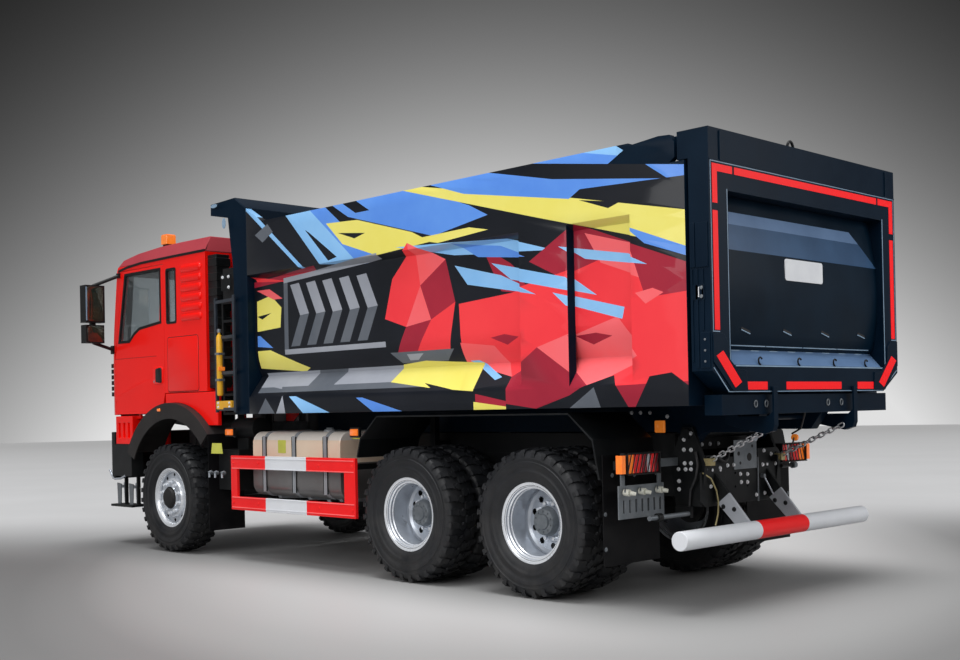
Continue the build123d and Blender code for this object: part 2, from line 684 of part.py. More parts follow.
# ---- cab ----
cab_outline = [
    (cab_rear_x, cab_floor_z), (cab_rear_x, 3000), (2010, 3150), (2560, 3150), (2960, 3144),
    (3380, 3113), (3640, 3065), (3713, 2950), (3850, 1975), (cab_nose_x, 1670),
    (cab_nose_x - 10, cab_sill_z),
    (3047, cab_sill_z), (2910, 1458), (2783, 1500), (2783, cab_floor_z),
]
cab_hollow = [
    (cab_rear_x + cab_wall, cab_floor_z + cab_wall), (cab_rear_x + cab_wall, 2985), (2050, 3105),
    (2560, 3105), (2950, 3099), (3370, 3068), (3605, 3025), (3665, 2940), (3803, 1970),
    (cab_nose_x - 47, 1665), (cab_nose_x - 56, cab_sill_z + cab_wall), (3060, cab_sill_z + cab_wall), (2930, 1500),
    (2828, 1534), (2828, cab_floor_z + cab_wall),
]


def cab_form(outline, inset):
    # side outline, rounded front corners in plan, and sloping edges along the roof
    half = cab_half_width - inset
    radius = 160 - inset
    side = side_plate(outline, -half, half)
    plan = block(cab_rear_x - 10, cab_nose_x + 5 - inset, -half, half, 1300, 3300)
    front_edges = plan.edges().filter_by(Axis.Z).group_by(Axis.X)[-1]
    plan = fillet(front_edges, radius)
    roof = cross_plate([(-half, 1300), (half, 1300), (half, roof_seam_z), (half - 90, 3150 - inset),
                        (-half + 90, 3150 - inset), (-half, roof_seam_z)], cab_rear_x - 10, 4000)
    return side & plan & roof


def screen_x(z):
    # outer face of the windscreen's slope at a height
    return 3850 - (z - 1975) * (3850 - 3713) / (2950 - 1975)


door_outline = [
    (door_rear_x, door_top_z), (3590, door_top_z), (3745, 2175), (door_front_x, 1975),
    (door_front_x, door_bottom_z), (3050, door_bottom_z), (2912, 1466), (2797, 1505),
    (door_rear_x, 1620),
]
door_opening = [
    (door_rear_x - swing_gap, door_top_z + swing_gap), (3590 + 5, door_top_z + swing_gap),
    (3745 + 8, 2175), (3772, 2110), (door_front_x + swing_gap, 2060),
    (door_front_x + swing_gap, cab_sill_z - 10),
    (3040, cab_sill_z - 10), (2790, cab_sill_z - 10), (2778, 1600), (door_rear_x - swing_gap, 1614),
]
door_glass = [
    (2834, 2887), (3536, 2887), (3692, 2175), (3476, 2185), (3368, 2265), (3261, 2311),
    (2994, 2337), (2853, 2349),
]
quarter_rear_x = 2520
quarter_front_x = 2710
quarter_bottom_z = 2320
quarter_top_z = 2880
screen_bottom_z = 2020
screen_top_z = 2900
door_inner_y = cab_half_width - cab_wall

cab = cab_form(cab_outline, 0) - cab_form(cab_hollow, cab_wall)
screen_cut = block(3600, 4000, -screen_half_width + 20, screen_half_width - 20, screen_bottom_z,
                   screen_top_z)
past_cab_y = cab_half_width + 60
quarter_cut = block(quarter_rear_x, quarter_front_x, -past_cab_y, past_cab_y, quarter_bottom_z,
                    quarter_top_z)
opening = side_plate(door_opening, door_inner_y - 8, past_cab_y)
cab = cab - screen_cut - quarter_cut - opening - mirrored(opening)
above = block(cab_rear_x - 20, 4000, -past_cab_y, past_cab_y, roof_seam_z, 3300)
tilt_eye = side_plate([(tilt_x - 50, cab_sill_z + 10), (tilt_x + 60, cab_sill_z + 10),
                       (tilt_x + 45, tilt_z - 45), (tilt_x - 45, tilt_z - 45)],
                      tilt_eye_y, tilt_eye_y + tilt_eye_width)
tilt_eye -= cross_rod(tilt_x, tilt_z, 25 + fit_gap, 480, 530)
door_hinges = []
for z in hinge_places:
    door_hinges += [
        block(door_hinge_x, door_front_x + 20, door_hinge_y - hinge_radius,
              door_hinge_y + hinge_radius, z - hinge_half, z + hinge_half),
        rod((door_hinge_x, door_hinge_y, z - hinge_half),
            (door_hinge_x, door_hinge_y, z + hinge_half), hinge_radius),
        rod((door_hinge_x, door_hinge_y, z - hinge_half - 30),
            (door_hinge_x, door_hinge_y, z + hinge_half + 30), door_pin_radius),
    ]
cab_shell = joined([cab - above] + both_sides([tilt_eye] + door_hinges))
save("cab_shell", [cab_shell])

pane = 6
screen = side_plate([(screen_x(screen_bottom_z) - 20, screen_bottom_z + fit_gap),
                     (screen_x(screen_top_z) - 20, screen_top_z - fit_gap),
                     (screen_x(screen_top_z) - 20 - pane, screen_top_z - fit_gap),
                     (screen_x(screen_bottom_z) - 20 - pane, screen_bottom_z + fit_gap)],
                    -screen_half_width + 20 + fit_gap, screen_half_width - 20 - fit_gap)
quarter_pane = block(quarter_rear_x + fit_gap, quarter_front_x - fit_gap, door_inner_y + 20,
                     door_inner_y + 20 + pane, quarter_bottom_z + fit_gap, quarter_top_z - fit_gap)
save("cab_glass", [screen, quarter_pane, mirrored(quarter_pane)])

door = side_plate(door_outline, door_inner_y, cab_half_width)
door -= side_plate(door_glass, door_inner_y - 5, cab_half_width + 5)
for z in hinge_places:
    notch = block(door_hinge_x - hinge_radius - swing_gap, door_front_x + 10, door_inner_y - 5,
                  cab_half_width + 5, z - hinge_half - 3, z + hinge_half + 3)
    door_bore = rod((door_hinge_x, door_hinge_y, z - hinge_half - 34),
                    (door_hinge_x, door_hinge_y, z + hinge_half + 34), door_pin_radius + fit_gap)
    door = door - notch - door_bore
glass_face = make_face(Polyline(*[(x, door_inner_y + 20, z) for x, z in door_glass], close=True))
glass_face = offset(glass_face, amount=-fit_gap)
door_pane = extrude(glass_face, amount=pane, dir=(0, 1, 0))
save("left_door", [door])
save("left_door_glass", [door_pane])
save("right_door", [mirrored(door)])
save("right_door_glass", [mirrored(door_pane)])

grille_half = 760
grille_slots = 5
grille_slot = 40
grille_slot_z = 1480
grille_slot_pitch = 86
grille = side_plate([(cab_nose_x - 79, 1940), (cab_nose_x + 0.4, 1670), (cab_nose_x - 8.6, 1420),
                     (cab_nose_x + 45, 1430), (cab_nose_x + 50, 1670), (cab_nose_x - 20, 1935)],
                    -grille_half, grille_half)
for n in range(grille_slots):
    low = grille_slot_z + n * grille_slot_pitch
    front = cab_nose_x + 50 - max(0, low - 1670) * 70 / 265
    grille -= block(front - 30, face_x + 20, -grille_half + 50, grille_half - 50, low, low + grille_slot)
save("grille", [grille])
seat_y = 520
seats = []
for y in (-seat_y, seat_y):
    pedestal = block(2540, 2815, y - 170, y + 170, cab_floor_z + cab_wall + fit_gap, 1905)
    cushion = block(2540, 3040, y - 250, y + 250, 1900, 2010)
    back = side_plate([(2540, 1990), (2640, 1990), (2560, 2620), (2470, 2620)], y - 240, y + 240)
    head = side_plate([(2465, 2615), (2555, 2615), (2540, 2790), (2470, 2790)], y - 130, y + 130)
    seats.append(joined([pedestal, cushion, back, head]))

dash_half = cab_half_width - cab_wall - 15
dash = side_plate([(3440, 1800), (3430, 1960), (3520, 2005), (screen_x(2005) - 55, 2005),
                   (screen_x(1975) - 52, 1975), (3836, 1800)], -dash_half + 140, dash_half - 140)
dash_foot = block(3640, 3800, -150, 150, cab_sill_z + cab_wall + fit_gap, 1805)
column = rod((3500, seat_y, 1960), (3318, seat_y, 2147), 28)
wheel_ring = Pos(3320, seat_y, 2145) * Rot(0, -44, 0) * Torus(215, 14)
wheel_spoke = Pos(3320, seat_y, 2145) * Rot(0, -44, 0) * Box(40, 425, 12)
save("cab_interior", seats + [joined([dash, dash_foot, column, wheel_ring, wheel_spoke])])

mirror_head = block(3735, 3860, 1280, 1500, 2390, 2790)
mirror_low = block(3735, 3850, 1290, 1500, 2170, 2365)
mirror_link = block(3770, 3820, 1370, 1420, 2360, 2395)
mirror_arm = rod((3668, cab_half_width + fit_gap, 2900), (3790, 1390, 2785), 18)
mirror_foot = block(3640, 3696, cab_half_width + fit_gap, cab_half_width + 22, 2875, 2925)
lower_arm = rod((3815, cab_half_width + 5, 2105), (3795, 1390, 2175), 18)
lower_foot = block(3800, 3850, cab_half_width - 50, cab_half_width + 20, 2060, 2150) - cab_form(cab_outline, -fit_gap)
mirror_unit = joined([mirror_head, mirror_low, mirror_link, mirror_arm, mirror_foot, lower_arm,
                      lower_foot])
mirror_unit = mirror_unit - cab_form(cab_outline, 0)
save("mirrors", [mirror_unit, mirrored(mirror_unit)])
beacon = joined([rod((2905, 985, 3146), (2905, 985, 3165), 58),
                 rod((2905, 985, 3164), (2905, 985, 3270), 50)])
save("beacon", [beacon])
duct_rear_x = 1815
duct_ribs = 9
duct_low_z = 1640
duct_high_z = 2950
duct_pitch = (duct_high_z - duct_low_z) / duct_ribs
duct = [block(duct_rear_x, cab_rear_x, 960, 1110, duct_low_z, duct_high_z)]
duct += [
    block(duct_rear_x - 9, cab_rear_x - 20, 951, 1119, low, low + duct_pitch * 0.55)
    for low in [duct_low_z + (n + 0.2) * duct_pitch for n in range(duct_ribs)]
]
save("intake_duct", [joined(duct)])
visor = side_plate([(3645, 3058), (3707.3, 2960), (3800, 2930), (3790, 3000), (3690, 3090)], -860, 860)
save("cab_roof", [cab & above, visor])

# ---- tipping body ----
wall_front_x = bed_front_x - plate
skin_inner_y = skin_y - skin_thickness
corner_y = skin_y - tub_corner_radius
corner_z = floor_z + tub_corner_radius


def tub_skin(x0, x1):
    # straight side above, a quarter turn below, down to the edge of the floor
    inner_radius = tub_corner_radius - skin_thickness
    half_turn = math.sqrt(0.5)
    edges = [
        Line((x0, skin_y, bed_top_z), (x0, skin_y, corner_z)),
        ThreePointArc((x0, skin_y, corner_z),
                      (x0, corner_y + tub_corner_radius * half_turn,
                       corner_z - tub_corner_radius * half_turn),
                      (x0, corner_y, floor_z)),
        Line((x0, corner_y, floor_z), (x0, corner_y, floor_z + skin_thickness)),
        ThreePointArc((x0, corner_y, floor_z + skin_thickness),
                      (x0, corner_y + inner_radius * half_turn, corner_z - inner_radius * half_turn),
                      (x0, skin_inner_y, corner_z)),
        Line((x0, skin_inner_y, corner_z), (x0, skin_inner_y, bed_top_z)),
        Line((x0, skin_inner_y, bed_top_z), (x0, skin_y, bed_top_z)),
    ]
    return extrude(make_face(edges), amount=x1 - x0, dir=(1, 0, 0))


ledge_inner_y = 980
ledge_top_y = 1096
flush_panels = [          # columns: rear x, front x, bottom z, top z
    (-2830, -2370, 1400, upper_box_z + 1),
    (bed_rear_x, -3390, 1400, 2960),
]
tub_cut = block(bed_rear_x - 10, bed_front_x, 0, corner_y, floor_z - 1, 3500)
tub_cut += block(bed_rear_x - 10, bed_front_x, 0, skin_y - 1, corner_z, 3500)
tub_cut += rod((bed_rear_x - 10, corner_y, corner_z), (bed_front_x, corner_y, corner_z),
               tub_corner_radius - 1)
ledge = cross_plate([(ledge_inner_y, bed_bottom_z), (bed_side_y, bed_bottom_z),
                     (bed_side_y, ledge_edge_z), (ledge_top_y, ledge_top_z),
                     (ledge_inner_y, ledge_top_z)], bed_rear_x, wall_front_x) - tub_cut
upper_box = cross_plate([(skin_y - 1, upper_box_z - 40), (bed_side_y, upper_box_z),
                         (bed_side_y, bed_top_z), (skin_y - 1, bed_top_z)], -3390, wall_front_x)
panels = [block(x0, x1, skin_y - 1, bed_side_y, z0, z1) for x0, x1, z0, z1 in flush_panels]
gate_bracket = side_plate([(-3268, 2958), (-3335, 3118), (-3640, 3146), (-3730, 3140),
                           (-3765, 3090), (-3765, 2990), (-3720, 2958)],
                          1200, bed_side_y)
bracket_web = block(-3615, -3385, skin_y - 1, 1201, 2955, 3110)
gate_pin = cross_rod(gate_hinge_x, gate_hinge_z, gate_pin_radius, skin_y + 4, bed_side_y)
gusset = side_plate([(830, bed_top_z - 1), (wall_front_x, bed_top_z - 1), (wall_front_x, 3285)],
                    bed_side_y - 60, bed_side_y)
skin = tub_skin(bed_rear_x, wall_front_x)
skin -= block(bed_rear_x - 10, -3660, skin_inner_y - 5, skin_y + 5, 2960, 3200)
left_side = joined([skin, ledge, upper_box, gusset, gate_bracket, bracket_web, gate_pin] + panels)
save("bed_left_side", [left_side])
save("bed_right_side", [mirrored(left_side)])

beam_outer_y = bed_beam_y + bed_beam_width
floor_plate = block(bed_rear_x, wall_front_x, -corner_y, corner_y, floor_z,
                    floor_z + skin_thickness)
long_beam = side_plate([(wall_front_x, bed_beam_bottom_z), (bed_rear_x + 70, bed_beam_bottom_z),
                        (bed_rear_x - 20, 1310), (bed_rear_x - 20, floor_z),
                        (wall_front_x, floor_z)], bed_beam_y, beam_outer_y)
cross_member_count = 9
first_member_x = -3500
member_pitch = (950 - first_member_x) / (cross_member_count - 1)
cross_members = [
    block(first_member_x + n * member_pitch - 40, first_member_x + n * member_pitch + 40,
          -ledge_inner_y, ledge_inner_y, 1405, floor_z)
    for n in range(cross_member_count)
]
tail_beam = block(-3990, bed_rear_x - 15, -1100, 1100, 1315, 1447)
hinge_eye = cross_rod(hinge_x, hinge_z, 70, bed_beam_y, beam_outer_y)
eye_web = side_plate([(hinge_x - 130, bed_beam_bottom_z + 10), (hinge_x - 60, hinge_z - 30),
                      (hinge_x + 60, hinge_z - 30), (hinge_x + 130, bed_beam_bottom_z + 10)],
                     bed_beam_y, beam_outer_y)
latch_x = -3700
latch_z = 1290
latch_radius = 25
beam_side = joined([long_beam, hinge_eye, eye_web])
beam_side -= cross_rod(hinge_x, hinge_z, hinge_pin_radius + fit_gap, 300, 500)
beam_side -= cross_rod(latch_x, latch_z, latch_radius + fit_gap, 300, 500)
bed_floor = joined(both_sides([beam_side]) + [floor_plate, tail_beam] + cross_members)
save("bed_floor", [bed_floor])

post_y = 1190
front_wall = block(wall_front_x, bed_front_x, -bed_side_y, bed_side_y, bed_bottom_z, 3290)
wall_ribs = [
    block(bed_front_x - 1, bed_front_x + 60, -post_y, post_y, z, z + 70) for z in (1520, 1960, 2700)
]
post_line = [(bed_front_x, bed_bottom_z), (1378, bed_bottom_z), (1378, 2650), (1390, 2793),
             (1459, 3247), (1752, 3302), (1748, 3408), (1352, 3422), (1173, 3305), (bed_front_x, 3290)]
post = side_plate(post_line, post_y, post_y + 14)
canopy = bent_sheet([(1744, 3403), (1353, 3417), (1175, 3300), (bed_front_x - 5, 3284)], 10,
                    -post_y - 3, post_y + 3)
eye_cheek_y = 70
eye_cheek = side_plate([(bed_front_x - 1, hoist_eye_z - 190), (1590, hoist_eye_z - 70),
                        (1720, hoist_eye_z), (1590, hoist_eye_z + 80),
                        (bed_front_x - 1, hoist_eye_z + 270)], eye_cheek_y, eye_cheek_y + 22)
front_end = joined(both_sides([post, eye_cheek]) + [front_wall, canopy] + wall_ribs)
save("bed_front", [front_end])

ladder_y = 1100
ladder_rear_x = 1382
ladder_front_x = 1730
ladder_rails = [
    block(x, x + 26, ladder_y - 15, ladder_y + 15, 1375, 2470)
    for x in (ladder_rear_x, ladder_front_x - 26)
]
rungs = [
    block(ladder_rear_x, ladder_front_x, ladder_y - 14, ladder_y + 14, z - 12, z + 12)
    for z in (1388, 1570, 1760, 1930, 2100, 2280, 2458)
]
ladder_plate = block(ladder_rear_x, ladder_front_x - 20, ladder_y - 6, ladder_y + 6, 2468, 2790)
ladder_ties = [
    block(1330, ladder_rear_x + 20, ladder_y - 5, post_y, z, z + 50) for z in (1480, 2000, 2560)
]
save("bed_ladder", [joined(ladder_rails + rungs + [ladder_plate] + ladder_ties)])

# ---- tailgate, its latch and the chains ----
chamfer_y = 1007
chamfer_z = 1600
gate_frame = cross_plate([(-gate_half_width, gate_top_z), (gate_half_width, gate_top_z),
                          (gate_half_width, chamfer_z), (chamfer_y, gate_bottom_z),
                          (-chamfer_y, gate_bottom_z), (-gate_half_width, chamfer_z)],
                         gate_rear_x, gate_front_x)
gate_frame -= block(gate_rear_x - 10, gate_front_x + 10, -window_half_width, window_half_width,
                    window_bottom_z, window_top_z)
gate_box = block(gate_front_x - 5, -3780, 1175, gate_half_width, 2966, gate_top_z)
gate_arm = side_plate([(gate_front_x - 5, 3045), (gate_hinge_x - 20, 3045),
                       (gate_hinge_x - 20, 3135), (gate_front_x - 5, 3135)], 1175, 1194)
gate_eye = cross_rod(gate_hinge_x, gate_hinge_z, 45, 1175, 1194)
gate_side = joined([gate_box, gate_arm, gate_eye])
gate_side -= cross_rod(gate_hinge_x, gate_hinge_z, gate_pin_radius + fit_gap, 1100, 1300)
save("tailgate_frame", [joined(both_sides([gate_side]) + [gate_frame])])

panel_line = [(gate_front_x - 40, window_top_z), (gate_rear_x + 45, 2220), (-3935, 1790)]
shelf_line = [(-3935, 1790), (-3900, 1745), (gate_rear_x + 25, window_bottom_z)]


def arched_sheet(start, middle, end, thickness, y0, y1):
    outer = ThreePointArc((start[0], y0, start[1]), (middle[0], y0, middle[1]), (end[0], y0, end[1]))
    inner = ThreePointArc((start[0] + thickness, y0, start[1]),
                          (middle[0] + thickness, y0, middle[1]), (end[0] + thickness, y0, end[1]))
    edges = [outer, Line(outer @ 1, inner @ 1), inner, Line(inner @ 0, outer @ 0)]
    return extrude(make_face(edges), amount=y1 - y0, dir=(0, 1, 0))


bowed = arched_sheet(*panel_line, plate, -window_half_width, window_half_width)
shelf = side_plate(shelf_line + [(x + plate, z) for x, z in shelf_line[::-1]],
                   -window_half_width, window_half_width)
save("tailgate_panel", [joined([bowed, shelf])])

hook_y = 515
hook_width = 50
hook_rear_x = gate_rear_x - latch_reach
hook_line = [(latch_x + 45, latch_z + 35), (latch_x + 45, latch_z - 40), (latch_x - 60, latch_z - 70),
             (-3960, 1180), (hook_rear_x + 15, 1200), (hook_rear_x, 1240), (hook_rear_x, 1500),
             (hook_rear_x + 14, 1500), (hook_rear_x + 14, 1330), (-3990, 1300), (latch_x - 60, 1300), (latch_x - 20, latch_z + 45)]
hook = side_plate(hook_line, hook_y, hook_y + hook_width)
latch_shaft = cross_rod(latch_x, latch_z, latch_radius, -hook_y - hook_width, hook_y + hook_width)
chain_end_x = -3945
chain_end_z = 1212
chain_end_y = 488
chain_pin_end = cross_rod(chain_end_x, chain_end_z, 12, chain_end_y + 22, hook_y + 5)
save("tail_latch", [joined(both_sides([hook, chain_pin_end]) + [latch_shaft])])

link_count = 8
link_length = 88
link_width = 38
link_thickness = 11
chain_start = (chain_pin_x, chain_eye_y, chain_pin_z)
chain_end = (chain_end_x, chain_end_y, chain_end_z)
chain_line = Edge.make_line(chain_start, chain_end)
chain_side = (-0.1, 1, 0)


def chain_link(n):
    # a six-cornered plate along the chain, every other one turned a quarter
    centre = chain_line @ ((n + 0.5) / link_count)
    along = chain_line % 0.5
    across = along.cross(Vector(*chain_side)).normalized()
    flat = Plane(origin=centre, x_dir=along, z_dir=across if n % 2 else along.cross(across))
    half, width = link_length / 2, link_width / 2
    outline = Polyline((-half, 0), (-half + 14, width), (half - 14, width), (half, 0),
                       (half - 14, -width), (-half + 14, -width), close=True)
    return extrude(flat * make_face(outline), amount=link_thickness / 2, both=True)


chain = joined([chain_link(n) for n in range(link_count)])
chain_eye = block(chain_pin_x - 20, chain_pin_x + 20, chain_eye_y - 14, chain_eye_y + 14,
                  chain_pin_z - 20, chain_pin_z + 20)
chain = joined([chain, chain_eye])
chain -= cross_rod(chain_pin_x, chain_pin_z, 10 + fit_gap, chain_eye_y - 40, chain_eye_y + 60)
save("tail_chains", [chain, mirrored(chain)])

# ---- telescopic hoist: a barrel and stages that slide out along one axis ----
hoist_start = (hoist_base_x, 0, hoist_base_z)
hoist_end = (hoist_eye_x, 0, hoist_eye_z)
hoist_line = Edge.make_line(hoist_start, hoist_end)
hoist_length = hoist_line.length
hoist_plane = Plane(origin=hoist_start, x_dir=(0, 1, 0), z_dir=hoist_line.tangent_at(0))


def hoist_tube(outer, bore, low, high):
    tube = hoist_plane * Pos(0, 0, (low + high) / 2) * Cylinder(outer, high - low)
    if bore > 0:
        tube -= hoist_plane * Pos(0, 0, (low + high) / 2 + plate) * Cylinder(bore, high - low)
    return tube


barrel_low = 60
barrel_high = hoist_length - 150
barrel = hoist_tube(barrel_radius, barrel_radius - 10, barrel_low, barrel_high)
base_eye = cross_rod(hoist_base_x, hoist_base_z, 64, -70, 70)
base_neck = hoist_tube(60, 0, 30, barrel_low + 5)
barrel = joined([barrel, base_eye, base_neck])
barrel -= cross_rod(hoist_base_x, hoist_base_z, 34 + fit_gap, -90, 90)
save("hoist_barrel", [barrel])
for n in range(1, stage_count + 1):
    outer = barrel_radius - 10 - fit_gap - (n - 1) * stage_step
    bore = 0 if n == stage_count else outer - stage_step + fit_gap
    low = barrel_low + plate + fit_gap + (n - 1) * (plate + fit_gap)
    high = barrel_high + n * 22
    stage = hoist_tube(outer, bore, low, high)
    if n == stage_count:
        top_neck = hoist_tube(45, 0, high - 5, hoist_length - 20)
        top_eye = cross_rod(hoist_eye_x, hoist_eye_z, 52, -eye_cheek_y + 8, eye_cheek_y - 8)
        stage = joined([stage, top_neck, top_eye])
        stage -= cross_rod(hoist_eye_x, hoist_eye_z, 28, -eye_cheek_y, eye_cheek_y)
    save(f"hoist_stage_{n}", [stage])
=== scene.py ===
import json
import math
import bpy
import bmesh
from mathutils import Matrix, Vector
from mathutils.bvhtree import BVHTree


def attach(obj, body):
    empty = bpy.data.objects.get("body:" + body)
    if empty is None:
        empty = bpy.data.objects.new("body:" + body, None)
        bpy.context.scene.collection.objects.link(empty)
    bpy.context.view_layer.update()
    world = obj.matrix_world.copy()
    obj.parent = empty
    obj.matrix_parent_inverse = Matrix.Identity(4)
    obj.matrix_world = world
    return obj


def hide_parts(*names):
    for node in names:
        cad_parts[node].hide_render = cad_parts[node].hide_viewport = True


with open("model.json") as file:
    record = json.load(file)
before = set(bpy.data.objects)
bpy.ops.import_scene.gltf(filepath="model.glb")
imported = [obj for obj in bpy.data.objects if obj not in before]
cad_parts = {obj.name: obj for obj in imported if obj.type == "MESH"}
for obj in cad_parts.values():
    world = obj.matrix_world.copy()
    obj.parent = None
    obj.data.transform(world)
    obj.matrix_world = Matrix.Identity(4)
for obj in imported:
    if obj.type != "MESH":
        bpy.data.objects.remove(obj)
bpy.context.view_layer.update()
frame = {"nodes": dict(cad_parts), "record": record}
nodes = frame["nodes"]
scene = bpy.context.scene
bodyOf = {node: body for body, members in frame["record"]["behaviour"]["bodies"].items()
    for node in members}
print("frame loaded:", len(nodes), "nodes")


# shader groups shared by the finishes
def newGroup(name, inputs, outputs):
    # inputs: label, kind of socket, first value
    tree = bpy.data.node_groups.new(name, "ShaderNodeTree")
    for label, kind, value in inputs:
        socket = tree.interface.new_socket(label, in_out="INPUT", socket_type="NodeSocket" + kind)
        socket.default_value = value
    for label, kind in outputs:
        tree.interface.new_socket(label, in_out="OUTPUT", socket_type="NodeSocket" + kind)
    return tree, tree.nodes.new("NodeGroupInput"), tree.nodes.new("NodeGroupOutput")


def shaderNode(tree, kind, links=(), **values):
    node = tree.nodes.new(kind)
    for key, value in values.items():
        setattr(node, key, value)
    for socket, source in links:
        if hasattr(source, "is_output"):
            tree.links.new(source, node.inputs[socket])
        else:
            node.inputs[socket].default_value = source
    return node


def mathNode(tree, operation, first, second=0.0, third=None, clamp=False):
    links = [(0, first), (1, second)] + ([(2, third)] if third is not None else [])
    return shaderNode(tree, "ShaderNodeMath", links, operation=operation, use_clamp=clamp).outputs[0]


def mapped(tree, value, low, high, toLow=0.0, toHigh=1.0, smooth=False):
    links = [("Value", value), ("From Min", low), ("From Max", high), ("To Min", toLow), ("To Max", toHigh)]
    kind = "SMOOTHSTEP" if smooth else "LINEAR"
    return shaderNode(tree, "ShaderNodeMapRange", links, interpolation_type=kind).outputs[0]


def noise(tree, place, scale, detail, roughness=0.5):
    links = [("Vector", place), ("Scale", scale), ("Detail", detail), ("Roughness", roughness)]
    return shaderNode(tree, "ShaderNodeTexNoise", links).outputs[0]


def blend(tree, share, first, second):
    links = [(0, share), (6, first), (7, second)]
    return shaderNode(tree, "ShaderNodeMix", links, data_type="RGBA").outputs[2]


def objectPlace(tree):
    return shaderNode(tree, "ShaderNodeTexCoord").outputs["Object"]


def toneGroup():
    # two tones mixed by soft clouds
    tree, into, out = newGroup("softTone", [
        ("Tone", "Color", (0.5, 0.5, 0.5, 1)),
        ("Other Tone", "Color", (0.4, 0.4, 0.4, 1)),
        ("Scale", "Float", 3.0),
    ], [("Color", "Color"), ("Mask", "Float")])
    cloud = noise(tree, objectPlace(tree), into.outputs["Scale"], 5.0, 0.6)
    mask = mapped(tree, cloud, 0.35, 0.65)
    mix = blend(tree, mask, into.outputs["Tone"], into.outputs["Other Tone"])
    tree.links.new(mix, out.inputs["Color"])
    tree.links.new(mask, out.inputs["Mask"])
    return tree


def grainGroup():
    # fine relief: speckle plus a slower ripple, as a height
    tree, into, out = newGroup("fineGrain", [
        ("Scale", "Float", 300.0),
        ("Ripple", "Float", 0.0),
    ], [("Height", "Float")])
    place = objectPlace(tree)
    fine = noise(tree, place, into.outputs["Scale"], 2.0)
    slow = noise(tree, place, 6.0, 1.0)
    height = mathNode(tree, "MULTIPLY_ADD", slow, into.outputs["Ripple"], fine)
    tree.links.new(height, out.inputs["Height"])
    return tree


def wearAndHighlightGroup():
    # a thin line where two faces meet, broken up by noise: a painted highlight along the edges, and on some
    # finishes edge wear
    tree, into, out = newGroup("edgeLine", [
        ("Width", "Float", 0.006),
        ("Amount", "Float", 0.5),
    ], [("Mask", "Float")])
    rounded = shaderNode(tree, "ShaderNodeBevel", [("Radius", into.outputs["Width"])], samples=4)
    flat = shaderNode(tree, "ShaderNodeNewGeometry")
    normals = [(0, rounded.outputs[0]), (1, flat.outputs["Normal"])]
    dot = shaderNode(tree, "ShaderNodeVectorMath", normals, operation="DOT_PRODUCT").outputs["Value"]
    edge = mapped(tree, dot, 0.98, 0.8)
    patch = mapped(tree, noise(tree, objectPlace(tree), 9.0, 4.0), 0.35, 0.7)
    mask = mathNode(tree, "MULTIPLY", edge, patch)
    mask = mathNode(tree, "MULTIPLY", mask, into.outputs["Amount"], clamp=True)
    tree.links.new(mask, out.inputs["Mask"])
    return tree


def dustGroup():
    # road dust, thicker low down
    tree, into, out = newGroup("roadDust", [
        ("Amount", "Float", 0.2),
        ("Top", "Float", 1.2),
    ], [("Mask", "Float")])
    place = objectPlace(tree)
    height = shaderNode(tree, "ShaderNodeSeparateXYZ", [(0, place)]).outputs[2]
    low = mapped(tree, height, into.outputs["Top"], 0.1)
    cloud = mapped(tree, noise(tree, place, 5.0, 6.0, 0.7), 0.4, 0.75)
    mask = mathNode(tree, "MULTIPLY", low, cloud)
    mask = mathNode(tree, "MULTIPLY", mask, into.outputs["Amount"], clamp=True)
    tree.links.new(mask, out.inputs["Mask"])
    return tree


groups = {"tone": toneGroup(), "grain": grainGroup(), "wearAndHighlight": wearAndHighlightGroup(), "dust": dustGroup()}


def placeGroup(tree, key, **values):
    node = tree.nodes.new("ShaderNodeGroup")
    node.node_tree = groups[key]
    for label, value in values.items():
        node.inputs[label.replace("_", " ")].default_value = value
    return node


def rgba(colour):
    return (*colour, 1.0)


def addBump(tree, shader, scale, ripple, strength):
    relief = placeGroup(tree, "grain", Scale=scale, Ripple=ripple)
    links = [("Height", relief.outputs[0]), ("Strength", strength), ("Distance", reliefDepth)]
    bump = shaderNode(tree, "ShaderNodeBump", links)
    tree.links.new(bump.outputs[0], shader.inputs["Normal"])


def makeFinish(name, tone, other, scale, rough=0.4, roughSpread=0.0, metal=0.0, coat=0.0, coatRough=0.05,
        grain=0.0, grainScale=300.0, ripple=0.0, wearAndHighlight=0.0, wearAndHighlightTone=(0.5, 0.5, 0.5), dust=0.0, glow=0.0,
        sheen=0.0, gleam=0.5):
    material = bpy.data.materials.new(name)
    material.use_nodes = True
    tree = material.node_tree
    shader = tree.nodes["Principled BSDF"]
    settings = {"Roughness": rough, "Metallic": metal, "Coat Weight": coat, "Coat Roughness": coatRough,
        "Specular IOR Level": gleam, "Sheen Weight": sheen, "Emission Strength": glow,
        "Emission Color": rgba(tone)}
    for label, value in settings.items():
        shader.inputs[label].default_value = value
    soft = placeGroup(tree, "tone", Tone=rgba(tone), Other_Tone=rgba(other), Scale=scale)
    colour = soft.outputs["Color"]
    if roughSpread:
        spread = mapped(tree, soft.outputs["Mask"], 0.0, 1.0, rough, rough + roughSpread)
        tree.links.new(spread, shader.inputs["Roughness"])
    for key, amount, over in (("wearAndHighlight", wearAndHighlight, wearAndHighlightTone), ("dust", dust, dustTone)):
        if amount:
            mask = placeGroup(tree, key, Amount=amount).outputs["Mask"]
            colour = blend(tree, mask, colour, rgba(over))
    tree.links.new(colour, shader.inputs["Base Color"])
    if grain:
        addBump(tree, shader, grainScale, ripple, grain)
    return material


